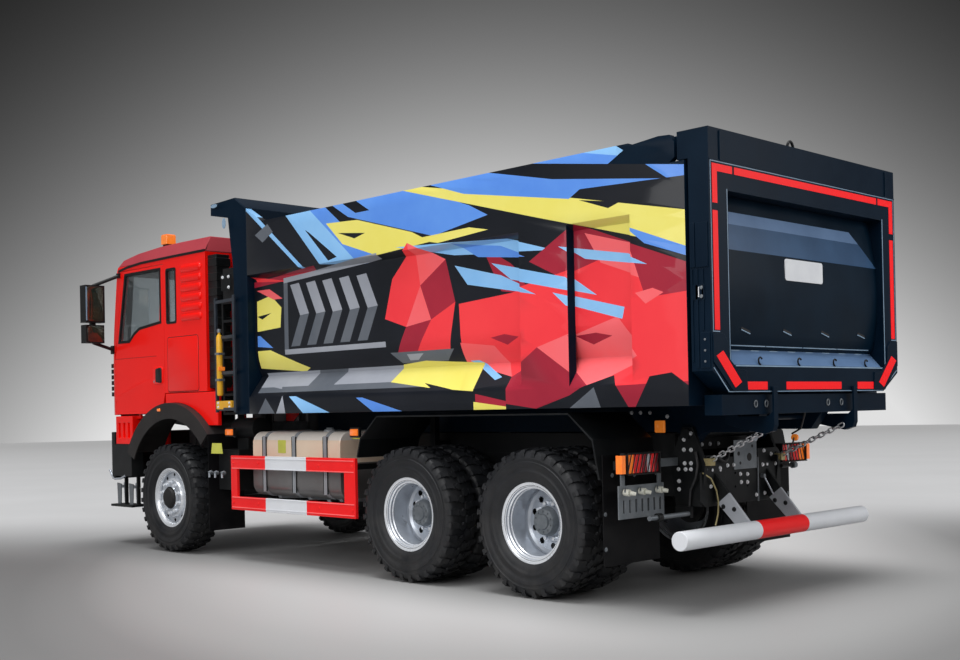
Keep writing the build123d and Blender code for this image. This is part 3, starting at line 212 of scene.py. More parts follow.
dustTone = (0.3, 0.27, 0.23)
reliefDepth = 0.002
paint = {"rough": 0.34, "coat": 0.22, "coatRough": 0.05, "gleam": 0.2, "grain": 0.05, "grainScale": 160,
    "ripple": 2.0}
darkPaint = dict(paint, coat=0.15, coatRough=0.1, gleam=0.25)
finishes = {        # tone, other tone, scale of the clouds, further settings
    # the cab's pink edge lines are painted highlights
    "cabRed": ((1, 0.006, 0.002), (0.96, 0.004, 0.001), 1.2, dict(wearAndHighlight=0.25,
        wearAndHighlightTone=(1, 0.3, 0.24), **paint)),
    # the roof is the cab's red painted darker, as painted shade, with pink painted highlights on its edges
    "roofCrimson": ((0.43, 0.055, 0.07), (0.38, 0.045, 0.062), 1.5, dict(wearAndHighlight=0.4,
        wearAndHighlightTone=(0.9, 0.45, 0.5), rough=0.46, gleam=0.12, grain=0.05, grainScale=160)),
    # near black for dark joints and the front hub caps, and painted shade in holes, slots and recesses
    "gapDark": ((0.008, 0.008, 0.009), (0.014, 0.013, 0.013), 3, dict(rough=0.7)),
    "frameBlack": ((0.004, 0.005, 0.006), (0.008, 0.009, 0.01), 4, dict(rough=0.36, roughSpread=0.15,
        gleam=0.25, grain=0.12, grainScale=220, wearAndHighlight=0.25, wearAndHighlightTone=(0.16, 0.17, 0.19), dust=0.06)),
    "plasticBlack": ((0.006, 0.007, 0.008), (0.01, 0.011, 0.012), 6, dict(rough=0.42, roughSpread=0.1,
        gleam=0.3, grain=0.3, grainScale=480, wearAndHighlight=0.15, wearAndHighlightTone=(0.09, 0.09, 0.1), dust=0.05)),
    "archPlastic": ((0.022, 0.019, 0.019), (0.028, 0.025, 0.024), 6, dict(rough=0.5, gleam=0.25,
        grain=0.5, grainScale=420, dust=0.03)),
    "rubber": ((0.007, 0.008, 0.01), (0.012, 0.013, 0.016), 7, dict(rough=0.46, roughSpread=0.14,
        gleam=0.4, grain=0.4, grainScale=380, ripple=1, wearAndHighlight=0.2, wearAndHighlightTone=(0.06, 0.065, 0.075),
        dust=0.08)),
    "flapRubber": ((0.004, 0.004, 0.005), (0.006, 0.006, 0.007), 5, dict(rough=0.55, gleam=0.12,
        grain=0.4, grainScale=260, dust=0.02)),
    "rimSilver": ((0.56, 0.6, 0.66), (0.46, 0.5, 0.56), 5, dict(rough=0.26, roughSpread=0.12,
        metal=0.5, coat=0.3, grain=0.06, grainScale=420, dust=0.12)),
    # a lighter silver: painted highlights on the rim lips and rings, and the bright metal of the nuts
    "brightNutsAndRimHighlight": ((0.88, 0.91, 0.95), (0.78, 0.81, 0.86), 5, dict(rough=0.2, roughSpread=0.1,
        metal=0.45, coat=0.3)),
    "hubGrey": ((0.16, 0.18, 0.2), (0.23, 0.25, 0.27), 14, dict(rough=0.42, roughSpread=0.15,
        metal=0.55, grain=0.4, grainScale=200, wearAndHighlight=0.3, wearAndHighlightTone=(0.4, 0.42, 0.45))),
    "boltZinc": ((0.62, 0.63, 0.66), (0.45, 0.46, 0.49), 20, dict(rough=0.3, roughSpread=0.2, metal=0.8)),
    "boltBright": ((0.85, 0.86, 0.88), (0.7, 0.71, 0.74), 20, dict(rough=0.3, metal=0.2)),
    # the tank is one polished metal in three tones: painted highlight, painted warm reflection and painted
    # shade
    "tankMetal": ((0.94, 0.86, 0.78), (0.84, 0.78, 0.72), 2, dict(rough=0.3, roughSpread=0.08,
        metal=0.2, grain=0.06, grainScale=60, ripple=3)),
    "tankWarm": ((1, 0.8, 0.62), (0.96, 0.74, 0.56), 2, dict(rough=0.3, roughSpread=0.08, metal=0.2,
        coat=0.2, grain=0.06, grainScale=60, ripple=3)),
    "tankShade": ((0.22, 0.21, 0.21), (0.17, 0.165, 0.165), 2, dict(rough=0.28, roughSpread=0.08,
        metal=0.4, coat=0.2, grain=0.06, grainScale=60, ripple=3)),
    "strapGrey": ((0.42, 0.44, 0.47), (0.34, 0.36, 0.39), 9, dict(rough=0.34, metal=0.25, wearAndHighlight=0.3,
        wearAndHighlightTone=(0.6, 0.62, 0.65))),
    "guardRed": ((0.94, 0.014, 0.016), (0.88, 0.01, 0.012), 2, dict(wearAndHighlight=0.2,
        wearAndHighlightTone=(1, 0.35, 0.3), dust=0.02, **paint)),
    # a lighter red for painted highlights on the guard's edges
    "guardEdge": ((1, 0.2, 0.2), (0.95, 0.14, 0.14), 2, paint),
    "ladderSteel": ((0.02, 0.026, 0.036), (0.032, 0.04, 0.052), 8, dict(rough=0.35, gleam=0.4,
        wearAndHighlight=0.4, wearAndHighlightTone=(0.2, 0.24, 0.3))),
    "guardWhite": ((0.74, 0.76, 0.8), (0.68, 0.7, 0.74), 2, dict(dust=0.08, **paint)),
    "lampRed": ((0.75, 0.02, 0.02), (0.55, 0.015, 0.015), 40, dict(rough=0.15, coat=1, glow=0.25,
        grain=0.3, grainScale=120)),
    "lampAmber": ((1, 0.22, 0.02), (0.85, 0.15, 0.02), 40, dict(rough=0.16, coat=1, glow=0.35,
        grain=0.3, grainScale=120)),
    "lampWhite": ((0.82, 0.84, 0.88), (0.62, 0.65, 0.7), 60, dict(rough=0.1, coat=1, grain=0.3,
        grainScale=120)),
    "lampWine": ((0.3, 0.012, 0.02), (0.2, 0.01, 0.015), 40, dict(rough=0.15, coat=1, glow=0.1,
        grain=0.3, grainScale=120)),
    "bracketPale": ((0.44, 0.46, 0.5), (0.38, 0.4, 0.44), 6, dict(rough=0.35, metal=0.2, wearAndHighlight=0.3,
        wearAndHighlightTone=(0.8, 0.8, 0.85))),
    "brass": ((0.52, 0.44, 0.22), (0.4, 0.33, 0.16), 14, dict(rough=0.35, metal=0.4, grain=0.3,
        grainScale=200)),
    "mirrorGlass": ((0.1, 0.07, 0.04), (0.03, 0.05, 0.04), 12, dict(rough=0.06, metal=0.6, coat=0.8)),
    "seatCloth": ((0.05, 0.055, 0.065), (0.09, 0.095, 0.105), 60, dict(rough=0.85, grain=0.6,
        grainScale=500, sheen=0.3)),
    "dashPlastic": ((0.035, 0.037, 0.042), (0.05, 0.052, 0.058), 8, dict(rough=0.6, grain=0.5,
        grainScale=420)),
    # glows as a lamp on the beacon and the small rear lamp; on the reflectors and the ladder's orange block
    # its glow is painted light
    "beaconOrange": ((0.95, 0.26, 0.03), (0.8, 0.16, 0.02), 25, dict(rough=0.12, coat=1, glow=0.35)),
    "canisterYellow": ((0.85, 0.47, 0.03), (0.75, 0.38, 0.03), 6, paint),
    "bodyDark": ((0.0015, 0.0085, 0.02), (0.003, 0.012, 0.026), 2.5, dict(rough=0.34, roughSpread=0.08,
        gleam=0.07, grain=0.12, grainScale=140, ripple=2, wearAndHighlight=0.22, wearAndHighlightTone=(0.1, 0.14, 0.18))),
    "gateSteel": ((0.001, 0.0075, 0.017), (0.002, 0.012, 0.026), 2, dict(rough=0.3, roughSpread=0.1,
        gleam=0.09, grain=0.08, grainScale=120, ripple=3)),
    # pale blue bands on the dark gate steel: painted reflections, and painted light on the shelf
    "gateBand": ((0.125, 0.215, 0.38), (0.095, 0.17, 0.31), 2, dict(rough=0.32, gleam=0.3,
        grain=0.08, grainScale=120, ripple=3)),
    "gateHaze": ((0.034, 0.088, 0.185), (0.024, 0.066, 0.145), 2, dict(rough=0.32, gleam=0.3,
        grain=0.08, grainScale=120, ripple=3)),
    # pale blue for painted highlights on edges and lips, and for light seen through holes
    "gateLine": ((0.3, 0.42, 0.55), (0.2, 0.32, 0.46), 6, dict(rough=0.35)),
    # the red tape glows a little: painted light, for tape is no lamp
    "tapeRed": ((0.98, 0.006, 0.01), (0.92, 0.005, 0.008), 80, dict(rough=0.4, gleam=0.2, grain=0.3,
        grainScale=700, glow=0.16)),
    "plateWhite": ((0.8, 0.82, 0.85), (0.74, 0.76, 0.8), 8, dict(rough=0.35, coat=0.3)),
    "labelYellow": ((0.62, 0.62, 0.08), (0.55, 0.56, 0.07), 10, dict(rough=0.4, coat=0.3)),
    "chainSteel": ((0.8, 0.81, 0.83), (0.52, 0.53, 0.55), 40, dict(rough=0.34, metal=0.85, grain=0.4,
        grainScale=260, wearAndHighlight=0.3, wearAndHighlightTone=(0.7, 0.7, 0.7))),
    "hoistChrome": ((0.8, 0.81, 0.83), (0.72, 0.73, 0.75), 4, dict(rough=0.08, metal=1)),
    "engineIron": ((0.05, 0.055, 0.06), (0.09, 0.095, 0.1), 10, dict(rough=0.6, metal=0.4, grain=0.7,
        grainScale=90, dust=0.3)),
    "plateGrey": ((0.17, 0.19, 0.21), (0.23, 0.25, 0.27), 10, dict(rough=0.4, metal=0.5, wearAndHighlight=0.3,
        wearAndHighlightTone=(0.5, 0.52, 0.55), dust=0.1)),
    "creamPlastic": ((0.66, 0.66, 0.58), (0.6, 0.6, 0.52), 10, dict(rough=0.45)),
    "hoseBlack": ((0.015, 0.015, 0.016), (0.025, 0.025, 0.027), 30, dict(rough=0.5, grain=0.3,
        grainScale=300)),
    "liveryBlack": ((0.006, 0.008, 0.012), (0.01, 0.012, 0.018), 1.5, darkPaint),
    "liveryBlue": ((0.085, 0.25, 0.78), (0.13, 0.33, 0.84), 1, paint),
    "liverySky": ((0.22, 0.5, 0.88), (0.3, 0.58, 0.92), 1, paint),
    "liveryYellow": ((0.84, 0.74, 0.13), (0.88, 0.8, 0.2), 1, paint),
    "liveryRed": ((0.98, 0.055, 0.065), (0.92, 0.04, 0.055), 1, paint),
    "liveryRose": ((1, 0.12, 0.13), (0.96, 0.16, 0.18), 1, paint),
    "liveryWine": ((0.42, 0.022, 0.045), (0.34, 0.016, 0.038), 1, paint),
    "liveryGrey": ((0.3, 0.32, 0.37), (0.38, 0.4, 0.45), 1.4, paint),
    "liveryAsh": ((0.1, 0.115, 0.14), (0.14, 0.155, 0.18), 1.4, paint),
}
finish = {name: makeFinish(name, tone, other, scale, **more)
          for name, (tone, other, scale, more) in finishes.items()}


def makeGlass(name, tint):
    # a clear dark pane
    material = bpy.data.materials.new(name)
    material.use_nodes = True
    tree = material.node_tree
    shader = tree.nodes["Principled BSDF"]
    settings = {"Base Color": rgba(tint), "Roughness": 0.02, "Transmission Weight": 0.92, "IOR": 1.45}
    for label, value in settings.items():
        shader.inputs[label].default_value = value
    addBump(tree, shader, 3.0, 1.0, 0.02)
    return material


finish["windowGlass"] = makeGlass("windowGlass", (0.55, 0.6, 0.62))
print("finishes made:", len(finish))


# makers of mesh; an outline is given in two directions, and its depth in the third
axisOrder = {
    "x": lambda across, up, depth: (depth, across, up),
    "y": lambda along, up, depth: (along, depth, up),
    "z": lambda along, across, depth: (along, across, depth),
}


class Shape:
    def __init__(self):
        self.mesh = bmesh.new()
        self.used = []

    def index(self, name):
        if name not in self.used:
            self.used.append(name)
        return self.used.index(name)

    def face(self, verts, name):
        face = self.mesh.faces.new(verts)
        face.material_index = self.index(name)

    def loft(self, rings, name, loop=False):
        # name: one finish, or a list with one for each side of the rings
        rows = [[self.mesh.verts.new(point) for point in ring] for ring in rings]
        names = name if isinstance(name, list) else [name] * len(rings[0])
        pairs = list(zip(rows, rows[1:])) + ([(rows[-1], rows[0])] if loop else [])
        for low, high in pairs:
            for n, one in enumerate(names):
                m = (n + 1) % len(names)
                self.face((low[n], low[m], high[m], high[n]), one)
        if not loop:
            self.face(rows[0][::-1], names[0])
            self.face(rows[-1], names[0])
        return rows

    def block(self, low, high, name):
        (x0, y0, z0), (x1, y1, z1) = low, high
        rings = [[(x, y0, z0), (x, y1, z0), (x, y1, z1), (x, y0, z1)] for x in (x0, x1)]
        self.loft(rings, name)

    def plate(self, points, axis, low, high, name):
        # an outline extruded along x, y or z
        put = axisOrder[axis]
        self.loft([[put(a, b, c) for a, b in points] for c in (low, high)], name)

    def rod(self, start, end, radius, name, sides=12, endRadius=None):
        start, end = Vector(start), Vector(end)
        turn = (end - start).to_track_quat("Z", "X").to_matrix()
        rings = []
        for centre, size in ((start, radius), (end, endRadius or radius)):
            rings.append([centre + turn @ Vector((x, y, 0)) for x, y in circle(0, 0, size, sides)])
        self.loft(rings, name)

    def tube(self, points, radius, name, sides=8):
        # a round bar along a bent line
        points = [Vector(p) for p in points]
        rings = []
        side = None
        for n, point in enumerate(points):
            along = (points[min(n + 1, len(points) - 1)] - points[max(n - 1, 0)]).normalized()
            if side is None:
                side = along.orthogonal().normalized()
            side = (side - along * side.dot(along)).normalized()
            up = along.cross(side)
            rings.append([point + side * a + up * b for a, b in circle(0, 0, radius, sides)])
        self.loft(rings, name)

    def lathe(self, profile, x, z, name, steps=64):
        # a closed (place along the axle, radius) profile, turned about a line across the truck
        rings = []
        for n in range(steps):
            angle = 2 * math.pi * n / steps
            rings.append([(x + r * math.cos(angle), y, z + r * math.sin(angle)) for y, r in profile])
        verts = [vert for row in self.loft(rings, name, loop=True) for vert in row]
        bmesh.ops.remove_doubles(self.mesh, verts=verts, dist=0.00001)

    def band(self, outer, inner, axis, low, high, name):
        # a flat frame between two outlines with as many corners each
        put = axisOrder[axis]
        rings = [[put(a, b, c) for a, b in line] for line, c in ((outer, low), (outer, high),
            (inner, high), (inner, low))]
        self.loft(rings, name, loop=True)

    def pillow(self, outline, axis, low, high, inset, name):
        # a pressed or moulded pad: the outline rises and draws in towards its top
        put = axisOrder[axis]
        rings = []
        for share in (0.0, 0.35, 0.7, 0.92, 1.0):
            drawn = insetOutline(outline, inset * (1 - math.sqrt(max(0.0, 1 - share ** 2))))
            rings.append([put(a, b, low + (high - low) * share) for a, b in drawn])
        self.loft(rings, name)

    def both(self):
        # the same again on the other side of the truck
        parts = self.mesh.verts[:] + self.mesh.edges[:] + self.mesh.faces[:]
        for part in bmesh.ops.duplicate(self.mesh, geom=parts)["geom"]:
            if isinstance(part, bmesh.types.BMVert):
                part.co.y = -part.co.y
        return self

    def taken(self, title):
        # the mesh itself, with its faces turned outward
        bmesh.ops.recalc_face_normals(self.mesh, faces=self.mesh.faces)
        data = bpy.data.meshes.new(title)
        self.mesh.to_mesh(data)
        self.mesh.free()
        return data

    def piece(self, title, body, slot, stands=(), bevel=0.0, segments=2, sharp=35):
        data = self.taken(title)
        for name in self.used:
            data.materials.append(finish[name])
        return placed(title, data, body, stands, bevel, segments, sharp)


def insetOutline(points, amount):
    # moves each edge of an outline inward and meets them again at the corners
    area = sum(a[0] * b[1] - b[0] * a[1] for a, b in zip(points, points[1:] + points[:1]))
    turn = 1 if area > 0 else -1
    moved = []
    for before, here, after in zip(points[-1:] + points[:-1], points, points[1:] + points[:1]):
        one = Vector((here[0] - before[0], here[1] - before[1])).normalized()
        two = Vector((after[0] - here[0], after[1] - here[1])).normalized()
        normalOne = Vector((-one.y, one.x)) * turn
        normalTwo = Vector((-two.y, two.x)) * turn
        share = (normalOne + normalTwo)
        share = share / max(0.2, 1 + normalOne.dot(normalTwo))
        moved.append((here[0] + share.x * amount, here[1] + share.y * amount))
    return moved


def circle(cx, cy, radius, steps=16, tall=None, shift=0.0):
    # points round a circle, or an oval when its height is given
    turns = [2 * math.pi * (n + shift) / steps for n in range(steps)]
    tall = radius if tall is None else tall
    return [(cx + radius * math.cos(turn), cy + tall * math.sin(turn)) for turn in turns]


def roundedOutline(x0, x1, z0, z1, radius, steps=4):
    points = []
    for cx, cz, start in ((x1 - radius, z1 - radius, 0), (x0 + radius, z1 - radius, 90),
            (x0 + radius, z0 + radius, 180), (x1 - radius, z0 + radius, 270)):
        for n in range(steps + 1):
            angle = math.radians(start + 90 * n / steps)
            points.append((cx + radius * math.cos(angle), cz + radius * math.sin(angle)))
    return points


def soften(piece, width, segments, angle):
    edge = piece.modifiers.new("softEdge", "BEVEL")
    edge.width = width
    edge.segments = segments
    edge.limit_method = "ANGLE"
    edge.angle_limit = math.radians(angle)
    return edge


def placed(title, data, body, stands=(), bevel=0.0, segments=2, sharp=35):
    data.shade_smooth()
    data.set_sharp_from_angle(angle=math.radians(sharp))
    piece = bpy.data.objects.new(title, data)
    scene.collection.objects.link(piece)
    if bevel:
        soften(piece, bevel, segments, 32).harden_normals = True
    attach(piece, body)
    if stands:
        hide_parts(*stands)
    return piece


def bakedMesh(piece):
    # the evaluated mesh, with the piece's modifiers taken off
    bpy.context.view_layer.update()
    data = bpy.data.meshes.new_from_object(piece.evaluated_get(bpy.context.evaluated_depsgraph_get()))
    piece.modifiers.clear()
    return data


def nodeCopy(node):
    # a merged copy of a carried-over solid, with its flat faces made whole
    mesh = bmesh.new()
    mesh.from_mesh(nodes[node].data)
    bmesh.ops.remove_doubles(mesh, verts=mesh.verts, dist=0.00002)
    bmesh.ops.dissolve_limit(mesh, angle_limit=math.radians(0.8), verts=mesh.verts, edges=mesh.edges)
    return mesh


def plain(node, name):
    # a node that stays as it is, in a new finish
    data = nodes[node].data
    if not data.materials:
        data.materials.append(finish[name])
    for slot in nodes[node].material_slots:
        slot.material = finish[name]


# geometry node trees for what repeats
def newTree(name, inputs):
    tree = bpy.data.node_groups.new(name, "GeometryNodeTree")
    tree.interface.new_socket("Geometry", in_out="INPUT", socket_type="NodeSocketGeometry")
    for label, kind, value in inputs:
        socket = tree.interface.new_socket(label, in_out="INPUT", socket_type="NodeSocket" + kind)
        if value is not None:
            socket.default_value = value
    tree.interface.new_socket("Geometry", in_out="OUTPUT", socket_type="NodeSocketGeometry")
    return tree, tree.nodes.new("NodeGroupInput"), tree.nodes.new("NodeGroupOutput")


def endTree(tree, into, out, points, instance, rotation=None):
    # copies on the points, made real and given the finish
    links = [("Points", points), ("Instance", instance)]
    links += [("Rotation", rotation)] if rotation is not None else []
    spread = shaderNode(tree, "GeometryNodeInstanceOnPoints", links).outputs[0]
    whole = shaderNode(tree, "GeometryNodeRealizeInstances", [(0, spread)]).outputs[0]
    coat = shaderNode(tree, "GeometryNodeSetMaterial", [("Geometry", whole),
        ("Material", into.outputs["Finish"])])
    tree.links.new(coat.outputs[0], out.inputs[0])


def studTree():
    # a bolt head on a washer at each point, turned to the point's facing
    tree, into, out = newTree("boltHeads", [
        ("Radius", "Float", 0.012), ("Height", "Float", 0.01),
        ("Sides", "Int", 6), ("Finish", "Material", None)])
    radius, height = into.outputs["Radius"], into.outputs["Height"]
    parts = []
    for sides, wide, tall, lift in ((into.outputs["Sides"], 1.0, 1.0, 0.5), (12, 1.35, 0.3, 0.0)):
        size = [("Vertices", sides), ("Radius", mathNode(tree, "MULTIPLY", radius, wide)),
            ("Depth", mathNode(tree, "MULTIPLY", height, tall))]
        disc = shaderNode(tree, "GeometryNodeMeshCylinder", size).outputs["Mesh"]
        up = shaderNode(tree, "ShaderNodeCombineXYZ", [("Z", mathNode(tree, "MULTIPLY", height, lift))])
        parts.append(shaderNode(tree, "GeometryNodeTransform", [("Geometry", disc),
            ("Translation", up.outputs[0])]))
    both = shaderNode(tree, "GeometryNodeJoinGeometry", [(0, part.outputs[0]) for part in parts])
    facing = shaderNode(tree, "GeometryNodeInputNamedAttribute", [("Name", "facing")],
        data_type="FLOAT_VECTOR").outputs["Attribute"]
    turn = shaderNode(tree, "FunctionNodeAlignRotationToVector", [("Vector", facing)], axis="Z")
    endTree(tree, into, out, into.outputs["Geometry"], both.outputs[0], turn.outputs[0])
    return tree


def wheelTree():
    # copies of one pitch, turned evenly about the axle
    tree, into, out = newTree("roundTheAxle", [
        ("Count", "Int", 10), ("Centre", "Vector", (0, 0, 0)),
        ("Finish", "Material", None)])
    count = into.outputs["Count"]
    points = shaderNode(tree, "GeometryNodePoints", [("Count", count),
        ("Position", into.outputs["Centre"])])
    number = tree.nodes.new("GeometryNodeInputIndex").outputs[0]
    step = mathNode(tree, "DIVIDE", 2 * math.pi, count)
    turn = shaderNode(tree, "ShaderNodeCombineXYZ", [("Y", mathNode(tree, "MULTIPLY", number, step))])
    endTree(tree, into, out, points.outputs[0], into.outputs["Geometry"], turn.outputs[0])
    return tree


def linkTree():
    # links along a line, each turned a quarter from the last
    tree, into, out = newTree("chainLinks", [
        ("Pitch", "Float", 0.05), ("Finish", "Material", None),
        ("Link", "Object", None)])
    line = shaderNode(tree, "GeometryNodeMeshToCurve", [("Mesh", into.outputs["Geometry"])]).outputs[0]
    steps = shaderNode(tree, "GeometryNodeResampleCurve",
        [("Curve", line), ("Length", into.outputs["Pitch"])], mode="LENGTH")
    along = tree.nodes.new("GeometryNodeInputTangent").outputs[0]
    number = tree.nodes.new("GeometryNodeInputIndex").outputs[0]
    turn = shaderNode(tree, "FunctionNodeAlignRotationToVector", [("Vector", along)], axis="X").outputs[0]
    quarter = mathNode(tree, "MULTIPLY", number, math.pi / 2)
    roll = shaderNode(tree, "ShaderNodeCombineXYZ", [("X", quarter)]).outputs[0]
    both = shaderNode(tree, "FunctionNodeRotateRotation", [("Rotation", turn), ("Rotate By", roll)],
        rotation_space="LOCAL")
    link = shaderNode(tree, "GeometryNodeObjectInfo", [("Object", into.outputs["Link"])])
    endTree(tree, into, out, steps.outputs[0], link.outputs["Geometry"], both.outputs[0])
    return tree


trees = {"stud": studTree(), "wheel": wheelTree(), "link": linkTree()}


def grown(data, key, values):
    # runs a tree on a mesh and returns the plain result
    host = bpy.data.objects.new("host", data)
    scene.collection.objects.link(host)
    maker = host.modifiers.new("maker", "NODES")
    maker.node_group = trees[key]
    sockets = {item.name: item.identifier for item in trees[key].interface.items_tree
        if item.in_out == "INPUT"}
    for label, value in values.items():
        maker[sockets[label]] = value
    result = bakedMesh(host)
    bpy.data.objects.remove(host)
    return result


def studs(title, body, points, name, radius=0.012, height=0.01, sides=6):
    # points: (place, facing) pairs
    data = bpy.data.meshes.new(title)
    data.from_pydata([place for place, facing in points], [], [])
    facings = data.attributes.new("facing", "FLOAT_VECTOR", "POINT")
    for n, (place, facing) in enumerate(points):
        facings.data[n].vector = facing
    result = grown(data, "stud", {"Radius": radius, "Height": height, "Sides": sides,
        "Finish": finish[name]})
    return placed(title, result, body)


def turnedCopies(title, body, shape, count, centre, name, sharp=35):
    values = {"Count": count, "Centre": centre, "Finish": finish[name]}
    return placed(title, grown(shape.taken(title), "wheel", values), body, sharp=sharp)


# wheels
wheels = {
    "axleHeight": 0.548,
    "frontX": 2.585, "middleX": -1.04, "rearX": -2.39,
    "frontY": 1.085, "outerY": 1.075, "innerY": 0.725,
    "tyreRadius": 0.548, "tyreHalf": 0.1575, "rimRadius": 0.298, "rimHalf": 0.122,
    "treadPitches": 32, "treadDepth": 0.019, "nutCount": 10, "holeCount": 10,
    "sidewall": [       # in from the tyre's side, up from the bead
        (0.043, -0.024), (0.036, 0.004), (0.022, 0.016), (0.01, 0.045), (0.0075, 0.062), (0.0045, 0.065),
        (0.003, 0.085), (0.006, 0.088), (0.0035, 0.12), (0.0005, 0.124), (0.001, 0.15), (0.005, 0.153),
        (0.006, 0.172), (0.003, 0.175), (0.01, 0.205)
    ],
}


def tyreProfile(y):
    # carcass section with sidewall rings, inside and outside
    half, top, bead = wheels["tyreHalf"], wheels["tyreRadius"] - wheels["treadDepth"], wheels["rimRadius"]
    side = [(half - inward, bead + up) for inward, up in wheels["sidewall"]]
    side += [(half - 0.022, top - 0.008), (half - 0.04, top)]
    inner = [(half - 0.06, top - 0.022), (half - 0.028, bead + 0.1), (half - 0.06, bead + 0.03),
        (half - 0.056, bead - 0.024)]
    right = side + [(0.0, top + 0.002)]
    left = [(-a, r) for a, r in side[::-1]]
    back = [(-a, r) for a, r in inner[::-1]] + inner
    return [(y + a, r) for a, r in right + left + back]


def treadPitch():
    # blocks of one pitch, at the top of a wheel centred on the origin
    shape = Shape()
    top, depth, half = wheels["tyreRadius"] - 0.0015, wheels["treadDepth"], wheels["tyreHalf"]
    pitch = 2 * math.pi / wheels["treadPitches"]
    outlines = [       # columns: across, share of the pitch
        [(0.004, 0.06), (0.03, 0.0), (0.062, 0.22), (0.06, 0.5), (0.034, 0.44), (0.02, 0.6),
         (0.004, 0.5)],
        [(0.072, 0.12), (0.1, 0.2), (0.1535, 0.2), (0.1535, 0.62), (0.098, 0.66), (0.07, 0.58)],
    ]
    for flip in (1, -1):
        for outline in outlines:
            shift = 0.0 if flip > 0 else 0.5
            rings = []
            for level in (0, 1):
                ring = []
                for across, share in outline:
                    drop = 0.016 * (across / half) ** 4
                    radius = top - drop if level else top - depth - 0.012
                    grow = 0.0 if level else 0.0022
                    angle = (share + shift) * pitch
                    side = min(across + grow, half - 0.001 if not level else half - 0.007)
                    ring.append((radius * math.sin(angle), flip * side, radius * math.cos(angle)))
                rings.append(ring)
            shape.loft(rings, "rubber")
    return shape


def sideLugs():
    # shoulder ribs that run down the sidewall
    shape = Shape()
    half, top = wheels["tyreHalf"], wheels["tyreRadius"]
    pitch = 2 * math.pi / wheels["treadPitches"]
    for flip in (1, -1):
        shift = 0.0 if flip > 0 else 0.5
        rings = []
        for radius, out in ((top - 0.012, -0.0085), (top - 0.04, -0.0015), (top - 0.062, -0.0015)):
            ring = []
            for share, sink in ((0.24, 0), (0.56, 0), (0.56, 0.016), (0.24, 0.016)):
                angle = (share + shift) * pitch
                ring.append((radius * math.sin(angle), flip * (half + out - sink),
                    radius * math.cos(angle)))
            rings.append(ring)
        shape.loft(rings, "rubber")
    return shape


def dressTyres(title, x, ys, body, node):
    shape = Shape()
    for y in ys:
        shape.lathe(tyreProfile(y), x, wheels["axleHeight"], "rubber", steps=72)
    shape.piece(title, body, "tyre", (node,), sharp=50)
    for n, y in enumerate(ys):
        centre = (x, y, wheels["axleHeight"])
        turnedCopies(f"{title}Tread{n}", body, treadPitch(), wheels["treadPitches"], centre,
            "rubber")
        turnedCopies(f"{title}Shoulder{n}", body, sideLugs(), wheels["treadPitches"], centre,
            "rubber", sharp=25)


def holedDisc(shape, x, y0, y1, inner, outer, holeAt, holeRadius):
    # a flat wheel disc with round hand holes, as sectors closed round each hole
    z, count, corners = wheels["axleHeight"], wheels["holeCount"], 24

    def at(place, y):
        radius, turn = place
        return shape.mesh.verts.new((x + radius * math.cos(turn), y, z + radius * math.sin(turn)))

    for n in range(count):
        middle = 2 * math.pi * (n + 0.5) / count
        outerRing, innerRing = [], []
        for hx, hy in circle(holeAt, 0, holeRadius, corners):
            innerRing.append((math.hypot(hx, hy), middle + math.atan2(hy, hx)))
        for fx, fy in circle(0, 0, 1, corners):
            reach = max(abs(fx), abs(fy))
            radius = (inner + outer) / 2 + fx / reach * (outer - inner) / 2
            outerRing.append((radius, middle + fy / reach * math.pi / count))
        for k in range(corners):
            m = (k + 1) % corners
            for y in (y1, y0):
                quad = (outerRing[k], outerRing[m], innerRing[m], innerRing[k])
                shape.face([at(place, y) for place in quad], "rimSilver")
            # the walls of each hand hole are painted near black: painted shade inside the holes
            quad = ((innerRing[k], y0), (innerRing[m], y0), (innerRing[m], y1), (innerRing[k], y1))
            shape.face([at(place, y) for place, y in quad], "gapDark")


def boltRing(title, body, x, y, radius, flip, name, size, height, shift=0.0):
    ring = circle(x, wheels["axleHeight"], radius, wheels["nutCount"], shift=shift)
    points = [((px, y, pz), (0, flip, 0)) for px, pz in ring]
    studs(title, body, points, name, radius=size, height=height)


